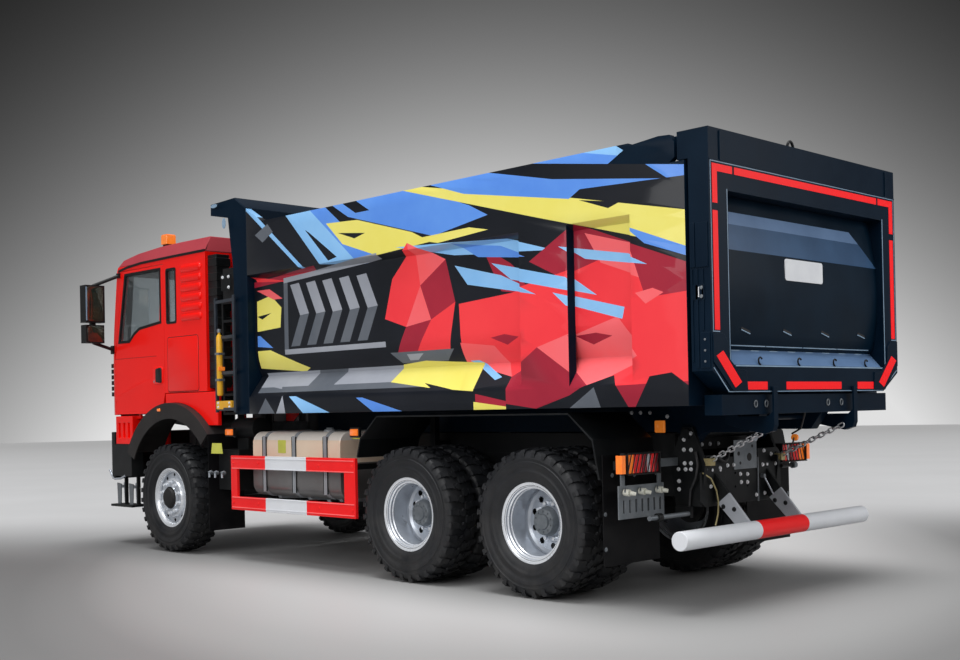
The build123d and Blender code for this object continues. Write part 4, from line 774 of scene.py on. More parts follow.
def rearRims(title, x, flip, body, node):
    z, out = wheels["axleHeight"], wheels["outerY"]
    shape = Shape()
    y = lambda a: flip * a
    edge, half = wheels["rimRadius"], wheels["rimHalf"]
    for centre, side in ((out, 1), (wheels["innerY"], -1)):
        a = lambda offset: flip * (centre + side * offset)
        barrel = [(a(half), edge), (a(half - 0.006), edge + 0.001), (a(half - 0.014), edge - 0.012),
            (a(half - 0.016), edge - 0.03), (a(0.02), edge - 0.036), (a(-half + 0.014), edge - 0.03),
            (a(-half + 0.008), edge), (a(-half), edge), (a(-half), edge - 0.046),
            (a(-0.02), edge - 0.052), (a(half - 0.055), edge - 0.052), (a(half - 0.048), edge - 0.046),
            (a(half - 0.03), edge - 0.045), (a(half - 0.024), edge - 0.034),
            (a(half - 0.012), edge - 0.03), (a(half - 0.005), edge - 0.018), (a(half), edge - 0.008)]
        # the lighter silver on the flange lips and on rings inside the barrel is a painted highlight
        names = ["brightNutsAndRimHighlight"] * 2 + ["rimSilver"] * 8 + ["brightNutsAndRimHighlight", "rimSilver"] * 2 + ["brightNutsAndRimHighlight"] * 3
        shape.lathe(barrel, x, z, names, steps=96)
    # the dish of the outer wheel: from the barrel in to the hub
    face = out - 0.108
    dish = [(y(face + 0.03), 0.246), (y(face + 0.01), 0.24), (y(face - 0.006), 0.222),
        (y(face - 0.02), 0.222), (y(face - 0.004), 0.246), (y(face + 0.022), 0.252)]
    shape.lathe(dish, x, z, "rimSilver", steps=96)
    holedDisc(shape, x, y(face - 0.02), y(face - 0.006), 0.15, 0.226, 0.188, 0.024)
    hub = [(y(face - 0.03), 0.152), (y(face + 0.006), 0.152), (y(face + 0.012), 0.146),
        (y(face + 0.012), 0.122), (y(face + 0.05), 0.112), (y(face + 0.096), 0.098),
        (y(face + 0.102), 0.092), (y(face + 0.104), 0.06), (y(face + 0.116), 0.054),
        (y(face + 0.118), 0.0), (y(face - 0.03), 0.0)]
    shape.lathe(hub, x, z, ["rimSilver"] * 4 + ["hubGrey"] * 7, steps=64)
    # brake drum behind, and the inner wheel's disc
    drum = [(y(0.757), 0.0), (y(0.757), 0.15), (y(face - 0.022), 0.15), (y(face - 0.022), 0.0)]
    shape.lathe(drum, x, z, "engineIron", steps=48)
    shape.lathe([(y(0.833), 0.1), (y(0.833), 0.252), (y(0.819), 0.252), (y(0.819), 0.1)], x, z,
        "rimSilver", steps=64)
    bmesh.ops.remove_doubles(shape.mesh, verts=shape.mesh.verts, dist=0.00001)
    shape.piece(title, body, "rim_silver", (node,), sharp=30)
    boltRing(title + "Nuts", body, x, y(face + 0.012), 0.134, flip, "brightNutsAndRimHighlight", 0.0145, 0.03)
    boltRing(title + "HubBolts", body, x, y(face + 0.103), 0.076, flip, "hubGrey", 0.007, 0.008, 0.5)


def frontRims(title, flip, body, node):
    x, z, centre = wheels["frontX"], wheels["axleHeight"], wheels["frontY"]
    shape = Shape()
    y = lambda offset: flip * (centre + offset)
    edge, half = wheels["rimRadius"], wheels["rimHalf"]
    barrel = [(y(half), edge), (y(half - 0.006), edge + 0.001), (y(half - 0.014), edge - 0.012),
        (y(half - 0.016), edge - 0.03), (y(0.02), edge - 0.036), (y(-half + 0.014), edge - 0.03),
        (y(-half + 0.008), edge), (y(-half), edge), (y(-half), edge - 0.046), (y(0.0), edge - 0.052),
        (y(half - 0.04), edge - 0.046), (y(half - 0.02), edge - 0.036), (y(half - 0.006), edge - 0.024),
        (y(half), edge - 0.01)]
    # the lighter silver on the lips and rings is a painted highlight, here and on the disc's edge below
    names = ["brightNutsAndRimHighlight"] * 2 + ["rimSilver"] * 8 + ["brightNutsAndRimHighlight"] * 4
    shape.lathe(barrel, x, z, names, steps=96)
    holedDisc(shape, x, y(half - 0.074), y(half - 0.052), 0.205, 0.254, 0.2295, 0.0175)
    disc = [(y(half - 0.054), 0.207), (y(half - 0.02), 0.192), (y(half - 0.01), 0.184),
        (y(half - 0.008), 0.118), (y(half + 0.004), 0.112), (y(half + 0.006), 0.098),
        (y(half + 0.03), 0.09), (y(half + 0.034), 0.08), (y(half + 0.036), 0.0), (y(half - 0.1), 0.0),
        (y(half - 0.1), 0.1), (y(half - 0.074), 0.207)]
    names = ["brightNutsAndRimHighlight"] * 2 + ["rimSilver"] * 2 + ["gapDark"] * 5 + ["hubGrey"] * 2 + ["rimSilver"]
    shape.lathe(disc, x, z, names, steps=96)
    bmesh.ops.remove_doubles(shape.mesh, verts=shape.mesh.verts, dist=0.00001)
    shape.piece(title, body, "rim_silver", (node,), sharp=30)
    boltRing(title + "Nuts", body, x, y(half - 0.009), 0.155, flip, "brightNutsAndRimHighlight", 0.0165, 0.03, 0.5)


for side, flip in (("left", 1), ("right", -1)):
    dressTyres(side + "FrontTyre", wheels["frontX"], [flip * wheels["frontY"]], f"front_{side}_wheel",
        f"front_{side}_tyre")
    frontRims(side + "FrontRim", flip, f"front_{side}_wheel", f"front_{side}_rim")
    for axle in ("middle", "rear"):
        x = wheels[axle + "X"]
        dressTyres(side + axle.title() + "Tyres", x, [flip * wheels["outerY"], flip * wheels["innerY"]],
            f"{axle}_{side}_wheels", f"{axle}_{side}_tyres")
        rearRims(side + axle.title() + "Rims", x, flip, f"{axle}_{side}_wheels", f"{axle}_{side}_rims")
print("wheels made")


# painted body sides: shards of colour cut into the skin
livery = {
    "front": 1.09,          # where the distance back is counted from
    "upperShards": [        # colour, then the distance back and the height of each corner
        # blue and yellow sweeps along the top
        ("sky", -0.05, 3.3, 0.03, 3.3, 0.9, 2.63, 0.84, 2.63),
        ("ash", 0.14, 3.02, 0.34, 3.1, 0.42, 3.02, 0.26, 2.94),
        ("sky", 0.46, 3.3, 0.78, 3.3, 1.62, 2.62, 1.1, 2.66),
        ("blue", 0.78, 3.3, 0.98, 3.3, 1.86, 2.64, 1.62, 2.62),
        ("black", 0.9, 2.98, 0.96, 2.95, 1.34, 2.7, 1.22, 2.68),
        ("blue", 1.02, 3.3, 2.2, 3.3, 3.15, 2.83, 2.55, 2.74, 1.5, 3.02),
        ("black", 1.16, 3.3, 1.34, 3.3, 1.78, 3.04, 1.6, 3.04),
        ("yellow", 1.2, 3, 1.62, 2.98, 2.3, 2.8, 2.52, 2.7, 1.86, 2.66, 1.42, 2.8),
        ("black", 1.36, 2.9, 1.72, 2.86, 1.58, 2.83),
        ("yellow", 2.3, 2.74, 2.95, 2.76, 3.15, 2.72, 2.6, 2.68),
        ("sky", 2.1, 2.7, 3.3, 2.64, 3.8, 2.5, 2.7, 2.58),
        ("blue", 2.3, 3.3, 4.95, 3.3, 4.95, 2.86, 3.9, 2.9),
        ("black", 1.9, 3.3, 2.12, 3.3, 3.6, 2.92, 4.95, 2.6, 4.95, 2.44, 3.2, 2.84),
        ("yellow", 2.06, 3.18, 2.3, 3.2, 3.9, 2.86, 4.95, 2.66, 4.95, 2.4, 3.6, 2.76),
        ("blue", 2.34, 3.2, 2.9, 3.2, 4.1, 2.92, 3.95, 2.84, 2.9, 3.02),
        ("black", 2.72, 3.24, 2.98, 3.24, 4.62, 2.98, 4.8, 2.86, 3.8, 3),
        ("sky", 3.36, 3.3, 3.6, 3.3, 4.95, 3.02, 4.95, 2.95),
        ("black", 4.04, 2.82, 4.4, 2.76, 4.3, 2.73),
        ("wine", 0, 2.6, 0, 2.55, 0.92, 2.6, 1, 2.66, 0.6, 2.64),
        ("red", 0, 2.66, 0.34, 2.6, 0.62, 2.56, 0.05, 2.6),
        # two rails, for the row of arrowheads
        ("grey", 0.46, 2.6, 1.86, 2.68, 1.86, 2.635, 0.46, 2.555),
        ("grey", 0.46, 1.955, 1.86, 1.955, 1.86, 1.91, 0.46, 1.91),
        ("ash", 0.46, 2.555, 0.52, 2.558, 0.52, 1.955, 0.46, 1.955),
    ],
    "otherShards": [
        # a red crystal
        ("red", 1.96, 2.46, 2.24, 2.72, 2.3, 2.38),
        ("rose", 2.24, 2.72, 2.6, 2.56, 2.3, 2.38),
        ("red", 1.96, 2.46, 2.3, 2.38, 2.12, 2.06, 1.86, 2.14),
        ("wine", 2.3, 2.38, 2.6, 2.56, 2.7, 2.22, 2.42, 2.1),
        ("rose", 2.12, 2.06, 2.3, 2.38, 2.42, 2.1),
        ("red", 2.42, 2.1, 2.7, 2.22, 2.62, 1.86, 2.24, 1.86),
        ("wine", 2.12, 2.06, 2.42, 2.1, 2.24, 1.86, 2, 1.86),
        ("ash", 1.9, 1.86, 2.66, 1.86, 2.56, 1.77, 2.02, 1.77),
        ("grey", 2.1, 1.84, 2.3, 1.84, 2.22, 1.79, 2.12, 1.79),
        # red facets
        ("red", 2.74, 2.2, 3.3, 2.24, 3.62, 1.82, 3.3, 1.62, 2.76, 1.78),
        ("rose", 2.74, 1.9, 3.1, 1.86, 3.3, 1.62, 2.76, 1.74),
        ("wine", 3, 2.62, 3.3, 2.46, 3.62, 2.2, 3.2, 2.26),
        ("wine", 3.56, 2.44, 3.98, 2.66, 4.46, 2.48, 3.9, 2.28),
        ("red", 3.3, 2.24, 3.9, 2.34, 4.3, 2, 3.62, 1.82),
        ("red", 3.9, 2.34, 4.46, 2.48, 4.6, 2.1, 4.3, 2),
        ("rose", 4.02, 2.6, 4.16, 2.38, 4.6, 2.22, 4.46, 2.48),
        ("wine", 4.46, 2.48, 4.95, 2.3, 4.95, 2.12, 4.6, 2.1),
        ("red", 4.3, 2, 4.6, 2.1, 4.95, 2.12, 4.95, 1.72, 4.52, 1.72),
        ("rose", 3.62, 1.82, 4.3, 2, 4.52, 1.72, 4.1, 1.52),
        ("wine", 3.3, 1.62, 3.62, 1.82, 4.1, 1.52, 3.6, 1.38, 3.3, 1.42),
        ("red", 4.1, 1.52, 4.52, 1.72, 4.95, 1.72, 4.95, 1.54),
        ("wine", 4.1, 1.52, 4.95, 1.54, 4.95, 1.38, 3.84, 1.38),
        ("wine", 2.8, 2.02, 3.22, 1.94, 3.52, 1.98, 3.24, 1.86),
        ("wine", 3.7, 1.98, 4.1, 1.9, 4.4, 1.92, 4.06, 1.82),
        ("rose", 4.36, 2.28, 4.66, 2.16, 4.92, 2.2, 4.6, 2.06),
        ("black", 3.74, 1.38, 4.02, 1.52, 4.28, 1.6, 4.44, 1.38),
        ("ash", 3.92, 1.38, 4.14, 1.52, 4.2, 1.38),
        ("black", 4.5, 1.38, 4.62, 1.58, 4.8, 1.6, 4.95, 1.5, 4.95, 1.38),
        # light streaks over the middle
        ("sky", 2.7, 2.5, 3.2, 2.38, 3.62, 2.2, 2.84, 2.34),
        ("blue", 2.74, 2.66, 3.2, 2.6, 3.52, 2.48, 2.96, 2.54),
        ("sky", 3.1, 2.48, 3.9, 2.3, 4.12, 2.16, 3.3, 2.34),
        ("sky", 3.84, 2.52, 4.4, 2.42, 4.62, 2.32, 4.02, 2.42),
        ("sky", 3.78, 2.2, 4.36, 2.06, 4.34, 1.98, 3.9, 2.1),
        ("blue", 4.42, 2.6, 4.95, 2.4, 4.95, 2.34, 4.6, 2.46),
        ("sky", 2.8, 1.76, 2.9, 1.76, 3.2, 1.62, 3.14, 1.6),
        # front corner
        ("yellow", 0.04, 2.42, 0.26, 2.46, 0.42, 2.34, 0.4, 2.16, 0.04, 2.14),
        ("black", 0.04, 2.28, 0.26, 2.3, 0.12, 2.25),
        ("blue", 0.04, 2.1, 0.08, 2.1, 0.28, 1.98, 0.04, 2),
        ("yellow", 0.04, 1.96, 0.24, 1.96, 0.78, 1.78, 0.7, 1.75, 0.04, 1.8),
        ("rose", 0.04, 2.52, 0.24, 2.52, 0.44, 2.42, 0.3, 2.42),
        # ledge: the first three shards, grey and ash bands along its top, are a painted sheen
        ("grey", 0.1, 1.755, 2.66, 1.755, 2.56, 1.6, 0.1, 1.6),
        ("ash", 0.9, 1.755, 1.3, 1.755, 1.16, 1.6, 0.8, 1.6),
        ("ash", 0.1, 1.62, 2.56, 1.62, 2.5, 1.57, 0.1, 1.57),
        ("ash", 0.14, 1.38, 0.26, 1.52, 0.4, 1.38),
        ("grey", 0.42, 1.38, 0.52, 1.54, 0.56, 1.38),
        ("grey", 0.3, 1.62, 0.36, 1.72, 0.44, 1.6),
        ("sky", 0.62, 1.53, 0.72, 1.53, 1.2, 1.38, 0.82, 1.38),
        ("blue", 1.56, 1.5, 1.64, 1.5, 2.14, 1.38, 1.78, 1.38),
        ("yellow", 2.02, 1.76, 2.3, 1.78, 2.94, 1.74, 2.96, 1.5, 2.44, 1.56, 1.92, 1.6),
        ("black", 2.36, 1.6, 2.72, 1.54, 2.5, 1.54),
        ("wine", 2.98, 1.5, 3.3, 1.44, 3.3, 1.38, 2.98, 1.42),
        ("yellow", 2.96, 1.44, 3.3, 1.4, 3.3, 1.36, 2.96, 1.36),
    ],
}


def arrowheads():
    shards = []
    for n in range(5):
        x = 0.56 + n * 0.235
        shards.append(("grey", x, 2.53, x + 0.13, 2.54, x + 0.27, 2.26, x + 0.14, 2.25))
        shards.append(("ash", x + 0.14, 2.25, x + 0.27, 2.26, x + 0.13, 1.98, x, 1.98))
    return shards


def cutShards(data, shards, front):
    # cuts each shard's outline into the skin, then colours the faces inside it
    names = ["liveryBlack"]
    mesh = bmesh.new()
    mesh.from_mesh(data)
    for face in mesh.faces:
        face.material_index = 0
    for colour, *corners in shards:
        name = "livery" + colour.title()
        if name not in names:
            names.append(name)
        points = [(front - back, z) for back, z in zip(corners[::2], corners[1::2])]
        area = sum(a[0] * b[1] - b[0] * a[1] for a, b in zip(points, points[1:] + points[:1]))
        if area < 0:
            points.reverse()
        (lowX, highX), (lowZ, highZ) = [(min(row), max(row)) for row in zip(*points)]
        edges = list(zip(points, points[1:] + points[:1]))

        def near():
            found = []
            for face in mesh.faces:
                xs = [vert.co.x for vert in face.verts]
                zs = [vert.co.z for vert in face.verts]
                if abs(face.normal.y) + abs(face.normal.z) < 0.2:
                    continue
                if min(xs) < highX and max(xs) > lowX and min(zs) < highZ and max(zs) > lowZ:
                    found.append(face)
            return found

        for (ax, az), (bx, bz) in edges:
            faces = near()
            geom = list({edge for face in faces for edge in face.edges})
            geom += list({vert for face in faces for vert in face.verts}) + faces
            bmesh.ops.bisect_plane(mesh, geom=geom, plane_co=(ax, 0, az),
                plane_no=(bz - az, 0, -(bx - ax)), dist=0.0002)
        for face in near():
            middle = face.calc_center_median()
            if all((bx - ax) * (middle.z - az) - (bz - az) * (middle.x - ax) > -1e-6
                   for (ax, az), (bx, bz) in edges):
                face.material_index = names.index(name)
    data.materials.clear()
    mesh.to_mesh(data)
    mesh.free()
    for name in names:
        data.materials.append(finish[name])


def liverySide(node, flip):
    mesh = nodeCopy(node)
    data = bpy.data.meshes.new(node + "Skin")
    mesh.to_mesh(data)
    mesh.free()
    host = bpy.data.objects.new("host", data)
    scene.collection.objects.link(host)
    soften(host, 0.004, 2, 40)
    result = bakedMesh(host)
    bpy.data.objects.remove(host)
    cutShards(result, livery["upperShards"] + arrowheads() + livery["otherShards"], livery["front"])
    dark = len(result.materials)
    result.materials.append(finish["bodyDark"])
    for face in result.polygons:
        # the inside of the tub, and the hinge brackets behind, stay plain
        out = face.normal.y * flip
        rim = face.normal.z > 0.9 and face.center.z > 2.0 and out < 0.3
        inside = out < -0.2 or abs(face.normal.x) > 0.6 or rim or abs(face.center.y) < 0.95
        if inside or (face.center.x < -3.27 and face.center.z > 2.955 and abs(face.center.y) > 1.19):
            face.material_index = dark
    return placed(node + "Skin", result, "bed", (node,), sharp=30)


liverySide("bed_left_side", 1)
liverySide("bed_right_side", -1)
print("painted sides cut")


# carried-over nodes
skins = {       # finishes, width of the softened edges and their segments
    "cab_shell": ("cabRed dashPlastic", 0.006, 3),
    "cab_roof": ("roofCrimson dashPlastic plasticBlack", 0.012, 3),
    "left_door": ("cabRed dashPlastic", 0.005, 3),
    "right_door": ("cabRed dashPlastic", 0.005, 3),
    "cab_interior": ("dashPlastic seatCloth", 0.012, 2),
    "bumper": ("plasticBlack", 0.01, 3),
    "grille": ("plasticBlack", 0.006, 2),
    "skirts": ("cabRed plasticBlack", 0.006, 2),
    "mirrors": ("plasticBlack", 0.022, 4),
    "front_arches": ("archPlastic", 0.012, 3),
    "intake_duct": ("plasticBlack", 0.012, 2),
    "bed_floor": ("bodyDark", 0.004, 2),
    "bed_front": ("bodyDark", 0.004, 2),
    "bed_ladder": ("plasticBlack", 0.003, 2),
    "canister": ("canisterYellow", 0.006, 2),
    "tailgate_frame": ("bodyDark", 0.005, 3),
    "tailgate_panel": ("gateSteel gateBand gateHaze", 0.002, 2),
    "tail_latch": ("bodyDark", 0.004, 2),
    "fuel_tank": ("tankWarm tankMetal tankShade", 0.01, 2),
    "tank_cradle": ("strapGrey", 0.003, 2),
    "chassis_boxes": ("plasticBlack", 0.008, 2),
    "side_guards": ("guardRed guardWhite frameBlack", 0.008, 3),
    "underrun_bar": ("guardWhite guardRed", 0.006, 2),
    "tail_brackets": ("plateGrey frameBlack bracketPale", 0.003, 2),
    "rear_mudguards": ("frameBlack", 0.003, 2),
    "mudflaps": ("flapRubber", 0.002, 2),
    "frame": ("frameBlack", 0.002, 2),
    "subframe": ("frameBlack", 0.003, 2),
}
skinSharp = {"tailgate_panel": 40, "fuel_tank": 40, "underrun_bar": 50}
skinCuts = {        # planes along which a solid's faces are parted, for its tones
    "tailgate_panel": [("z", 2.65), ("z", 2.566), ("z", 2.395), ((0, 0.6, -0.8), (0, -0.68, 2.66)),
                       ("y", 0.985)],
    "fuel_tank": [("z", 1.135), ("z", 0.935)],
    "side_guards": [("x", 0.28), ("x", 0.9), ("x", -0.16), ("y", 1.18), ("y", -1.18)],
    "underrun_bar": [("y", 0.31), ("y", -0.31)],
    "tail_brackets": [((0.62, 0, 0.78), (-3.5, 0, 0.735))],
}


def gatePanelLight(c, n):
    # painted reflections: pale bands along the top of the bowed panel, and painted light on the up-facing
    # shelf below it
    if n.x < 0 and c.z > 2.395 and abs(c.y) < 0.985:
        beyond = 0.6 * (c.y + 0.68) - 0.8 * (c.z - 2.66) < 0
        if c.z < 2.65 and not beyond:
            return 1 if c.z > 2.566 else 2
    return 1 if c.z < 1.76 and n.z > 0.3 else 0


# painted light on the polished tank: a pale painted highlight high up, a warm painted reflection on the
# outer middle band, and painted shade low down
def tankTone(c, n):
    if 0.935 < c.z < 1.135 and n.y > -0.5:
        return 0
    return 1 if c.z > 1 else 2


def bracketTone(c, n):
    if abs(c.y) > 0.5:
        return 1 if c.z > 0.9 else 0
    return 2 if 0.62 * (c.x + 3.5) + 0.78 * (c.z - 0.735) < 0 else 1


def roofTone(c, n):
    if c.x > 3.68 and abs(c.y) < 0.87 and c.z < 3.095:
        return 2
    return 1 if n.z < -0.5 and c.x < 3.6 else 0


skinTones = {       # which finish a face takes, by its centre and its normal
    "cab_shell": lambda c, n: abs(c.y) < 1.1 and 2.0 < c.x < 3.86 and c.z > 1.42,
    "cab_roof": roofTone,
    "left_door": lambda c, n: abs(c.y) < 1.1 and abs(n.y) > 0.9,
    "right_door": lambda c, n: abs(c.y) < 1.1 and abs(n.y) > 0.9,
    "cab_interior": lambda c, n: c.x < 3.1 and c.z > 1.9,
    "skirts": lambda c, n: not (c.z > 1.085 and abs(c.y) > 0.95),
    "tailgate_panel": gatePanelLight,
    "fuel_tank": tankTone,
    "side_guards": lambda c, n: 2 if abs(c.y) < 1.18 else 0.28 < c.x < 0.9,
    "underrun_bar": lambda c, n: abs(c.y) < 0.31,
    "tail_brackets": bracketTone,
}
plainNodes = {
    "windowGlass": ("left_door_glass", "right_door_glass", "cab_glass"),
    "lampWhite": ("headlamps",),
    "engineIron": ("powertrain",),
    "frameBlack": ("rear_axles", "front_axle", "left_knuckle", "right_knuckle", "hoist_barrel"),
    "hoistChrome": ("hoist_stage_1", "hoist_stage_2", "hoist_stage_3"),
}


def dressed(node):
    # stands for a node: same shape, softened edges, finishes given face by face
    names, bevel, segments = skins[node]
    mesh = nodeCopy(node)
    for axis, place in skinCuts.get(node, ()):
        normal = {"x": (1, 0, 0), "y": (0, 1, 0), "z": (0, 0, 1)}.get(axis, axis)
        point = place if isinstance(place, tuple) else tuple(place * part for part in normal)
        bmesh.ops.bisect_plane(mesh, geom=mesh.verts[:] + mesh.edges[:] + mesh.faces[:],
                               plane_co=point, plane_no=normal, dist=0.00001)
    if node in skinTones:
        for face in mesh.faces:
            face.material_index = int(skinTones[node](face.calc_center_median(), face.normal))
    data = bpy.data.meshes.new(node + "Skin")
    mesh.to_mesh(data)
    mesh.free()
    for name in names.split():
        data.materials.append(finish[name])
    sharp = skinSharp.get(node, 32)
    return placed(node + "Skin", data, bodyOf[node], (node,), bevel, segments, sharp)


def makeBeacon():
    shape = Shape()
    shape.block((2.862, 0.942, 3.146), (2.948, 1.028, 3.168), "plasticBlack")
    shape.block((2.849, 0.929, 3.166), (2.961, 1.041, 3.262), "beaconOrange")
    shape.block((2.853, 0.933, 3.258), (2.957, 1.037, 3.27), "lampAmber")
    shape.piece("beaconLens", "cab", "beacon_orange", ("beacon",), bevel=0.007, segments=3)


for node in skins:
    dressed(node)
for name, members in plainNodes.items():
    for node in members:
        plain(node, name)
makeBeacon()
print("nodes dressed")


def landing(node, start, direction):
    # where a straight line from outside first meets a carried-over solid
    if node not in landings:
        mesh = nodeCopy(node)
        landings[node] = BVHTree.FromBMesh(mesh)
        mesh.free()
    return landings[node].ray_cast(Vector(start), Vector(direction))[0]


landings = {}

# tailgate trim
gate = {
    "skin": -4.02,
    "tapes": [          # corners as (across, height); those off the middle are also mirrored
        [(0.977, 2.872), (1.205, 2.872), (1.205, 2.92), (0.977, 2.92)],
        [(1.15, 2.668), (1.205, 2.668), (1.205, 2.872), (1.15, 2.872)],
        [(1.15, 1.86), (1.205, 1.86), (1.205, 2.62), (1.15, 2.62)],
        [(0.953, 2.872), (-0.953, 2.872), (-0.953, 2.92), (0.953, 2.92)],
        [(0.851, 1.478), (0.609, 1.478), (0.609, 1.531), (0.851, 1.531)],
        [(0.372, 1.478), (-0.372, 1.478), (-0.372, 1.531), (0.372, 1.531)],
    ],
    "lines": [          # start, end, half width
        ((1.222, 2.935), (-1.222, 2.935), 0.0035), ((1.222, 2.935), (1.222, 1.85), 0.0025),
        ((-1.222, 2.935), (-1.222, 1.85), 0.0025), ((1.228, 1.85), (1.15, 1.85), 0.003),
        ((-1.228, 1.85), (-1.15, 1.85), 0.003), ((1.04, 2.77), (1.04, 1.66), 0.0025),
        ((-1.04, 2.77), (-1.04, 1.64), 0.004), ((0.98, 1.634), (-1.03, 1.634), 0.004),
        ((1.013, 1.599), (0.913, 1.598), 0.003), ((1.06, 1.466), (-0.99, 1.466), 0.0025),
        ((1.226, 1.62), (1.06, 1.466), 0.0035), ((-1.226, 1.62), (-0.99, 1.466), 0.0035),
    ],
    "dashes": [         # count, first, step, length, where the panel is felt for, low, high, rise
        (4, 0.94, 0.48, 0.468, (0.2, 1.772), 1.769, 1.776, 0.003),
        (8, 0.86, 0.235, 0.1, (0, 1.742), 1.7395, 1.7445, 0.0025),
    ],
    "plate": (-0.215, 0.285, 2.23, 2.38),
    "hooksAt": (0.645, 0.148, -0.338, -0.8),
    "sideBars": [       # rear, front, low, high
        (-4.005, -3.912, 2.26, 2.545), (-3.905, -3.868, 2.262, 2.548), (-3.975, -3.885, 2.055, 2.15),
        (-3.968, -3.952, 1.86, 2.25), (-3.925, -3.905, 1.62, 2.25), (-3.885, -3.87, 1.66, 2.25),
        (-4.008, -3.94, 1.62, 1.845),
    ],
    "cornerTape": [(1.13, 1.728), (1.205, 1.694), (1, 1.492), (0.925, 1.528)],
    "strip": 1.105,
    "cornerPlate": [(1.232, 1.84), (1.12, 1.84), (1.07, 1.79), (1.062, 1.68), (0.965, 1.612), (0.862, 1.605),
                    (0.85, 1.47), (1.02, 1.47), (1.232, 1.655)],
    "slots": [(0.804, 1.887, 0.699, 1.861), (0.287, 1.889, 0.183, 1.864), (-0.224, 1.891, -0.33, 1.866),
              (-0.749, 1.893, -0.855, 1.87)],
}


def thickLine(start, end, half):
    (y0, z0), (y1, z1) = start, end
    span = math.hypot(y1 - y0, z1 - z0)
    ny, nz = -(z1 - z0) / span * half, (y1 - y0) / span * half
    return [(y0 + ny, z0 + nz), (y1 + ny, z1 + nz), (y1 - ny, z1 - nz), (y0 - ny, z0 - nz)]


def onPanel(y, z):
    return landing("tailgate_panel", (-4.5, y, z), (1, 0, 0)).x


def gateTrim():
    skin = gate["skin"]
    shape = Shape()
    # the red tapes glow a little: painted light, for they are no lamp
    for points in gate["tapes"]:
        shape.plate(points, "x", skin - 0.0018, skin + 0.002, "tapeRed")
        if abs(sum(y for y, z in points)) > 0.01:
            shape.plate([(-y, z) for y, z in points], "x", skin - 0.0018, skin + 0.002, "tapeRed")
    for flip in (1, -1):
        points = [(flip * y, z) for y, z in gate["cornerTape"]]
        shape.plate(points, "x", skin - 0.0098, skin - 0.006, "tapeRed")
    shape.piece("gateTape", "tailgate", "body_dark")
    shape = Shape()
    # painted highlights: pale lines along the gate's edges and dashes along its shelf
    for start, end, half in gate["lines"]:
        shape.plate(thickLine(start, end, half), "x", skin - 0.0012, skin + 0.001, "gateLine")
    for count, first, step, length, (aside, z), low, high, rise in gate["dashes"]:
        for n in range(count):
            y = first - n * step
            x = onPanel(y - aside, z)
            shape.block((x - rise, y - length, low), (x + 0.004, y, high), "gateLine")
    shape.piece("gateLines", "tailgate", "body_dark")
    # corner plates, header strips and the flat bar over the tape
    shape = Shape()
    for flip in (1, -1):
        points = [(flip * y, z) for y, z in gate["cornerPlate"]]
        shape.plate(points, "x", skin - 0.008, skin + 0.002, "bodyDark")
        y = flip * gate["strip"]
        shape.block((skin - 0.01, y - 0.018, 2.94), (skin + 0.002, y + 0.018, 3.135), "bodyDark")
    shape.block((skin - 0.006, -1.235, 2.938), (skin + 0.002, 1.235, 2.946), "bodyDark")
    shape.piece("gatePlates", "tailgate", "body_dark", bevel=0.002)
    # welded ring on the top edge
    shape = Shape()
    line = [(-3.95, y, z) for y, z in circle(0.14, 3.145, 0.042, 20, tall=0.066)[:11]]
    shape.tube(line, 0.01, "frameBlack", 10)
    shape.piece("gateRing", "tailgate", "body_dark", sharp=60)
    # blank plate on the panel
    shape = Shape()
    y0, y1, z0, z1 = gate["plate"]
    proud = min(onPanel((y0 + y1) / 2, z) for z in (z0, (z0 + z1) / 2, z1))
    outline = roundedOutline(y0, y1, z0, z1, 0.02)
    shape.plate(outline, "x", proud - 0.004, proud + 0.004, "plateWhite")
    shape.piece("gatePlate", "tailgate", "body_dark", bevel=0.001)
    # short slots low on the panel, painted dark as shade in the openings, each with a painted highlight on
    # its lower lip
    shape = Shape()
    for y0, z0, y1, z1 in gate["slots"]:
        x = onPanel((y0 + y1) / 2, z0)
        lip = thickLine((y0, z0 - 0.01), (y1, z1 - 0.01), 0.003)
        shape.plate(thickLine((y0, z0), (y1, z1), 0.009), "x", x - 0.002, x + 0.006, "gapDark")
        shape.plate(lip, "x", x - 0.003, x + 0.006, "gateLine")
    shape.piece("gateSlots", "tailgate", "body_dark")
    # tarpaulin hooks along the shelf
    shape = Shape()
    for y in gate["hooksAt"]:
        line = [(-3.992, y - 0.02, 1.628), (-3.992, y + 0.004, 1.645)]
        for n in range(9):
            angle = math.radians(210 * n / 8 - 60)
            line.append((-3.992, y + 0.022 * math.cos(angle), 1.672 + 0.022 * math.sin(angle)))
        shape.tube(line, 0.006, "frameBlack")
    shape.piece("gateHooks", "tailgate", "body_dark", sharp=60)


def gateEdges():
    # locks and hinges down each side edge of the gate frame
    shape = Shape()
    for flip in (1, -1):
        y0, y1 = flip * 1.236, flip * 1.247
        for x0, x1, low, high in gate["sideBars"]:
            shape.block((x0, y0, low), (x1, y1, high), "bodyDark")
        for z in (2.075, 2.13):
            shape.rod((-3.952, y0, z), (-3.952, flip * 1.2498, z), 0.012, "plateGrey", 10)
        shape.rod((-3.93, flip * 1.243, 2.07), (-3.93, flip * 1.243, 2.135), 0.0065, "chainSteel", 10)
    shape.piece("gateEdges", "tailgate", "body_dark", bevel=0.0025)
    points = [((-3.972, flip * 1.2465, z), (0, flip, 0)) for flip in (1, -1) for z in (1.66, 1.73, 1.8)]
    studs("gateEdgeBolts", "tailgate", points, "plateGrey", radius=0.008, height=0.003)


gateTrim()
gateEdges()
print("tailgate trimmed")

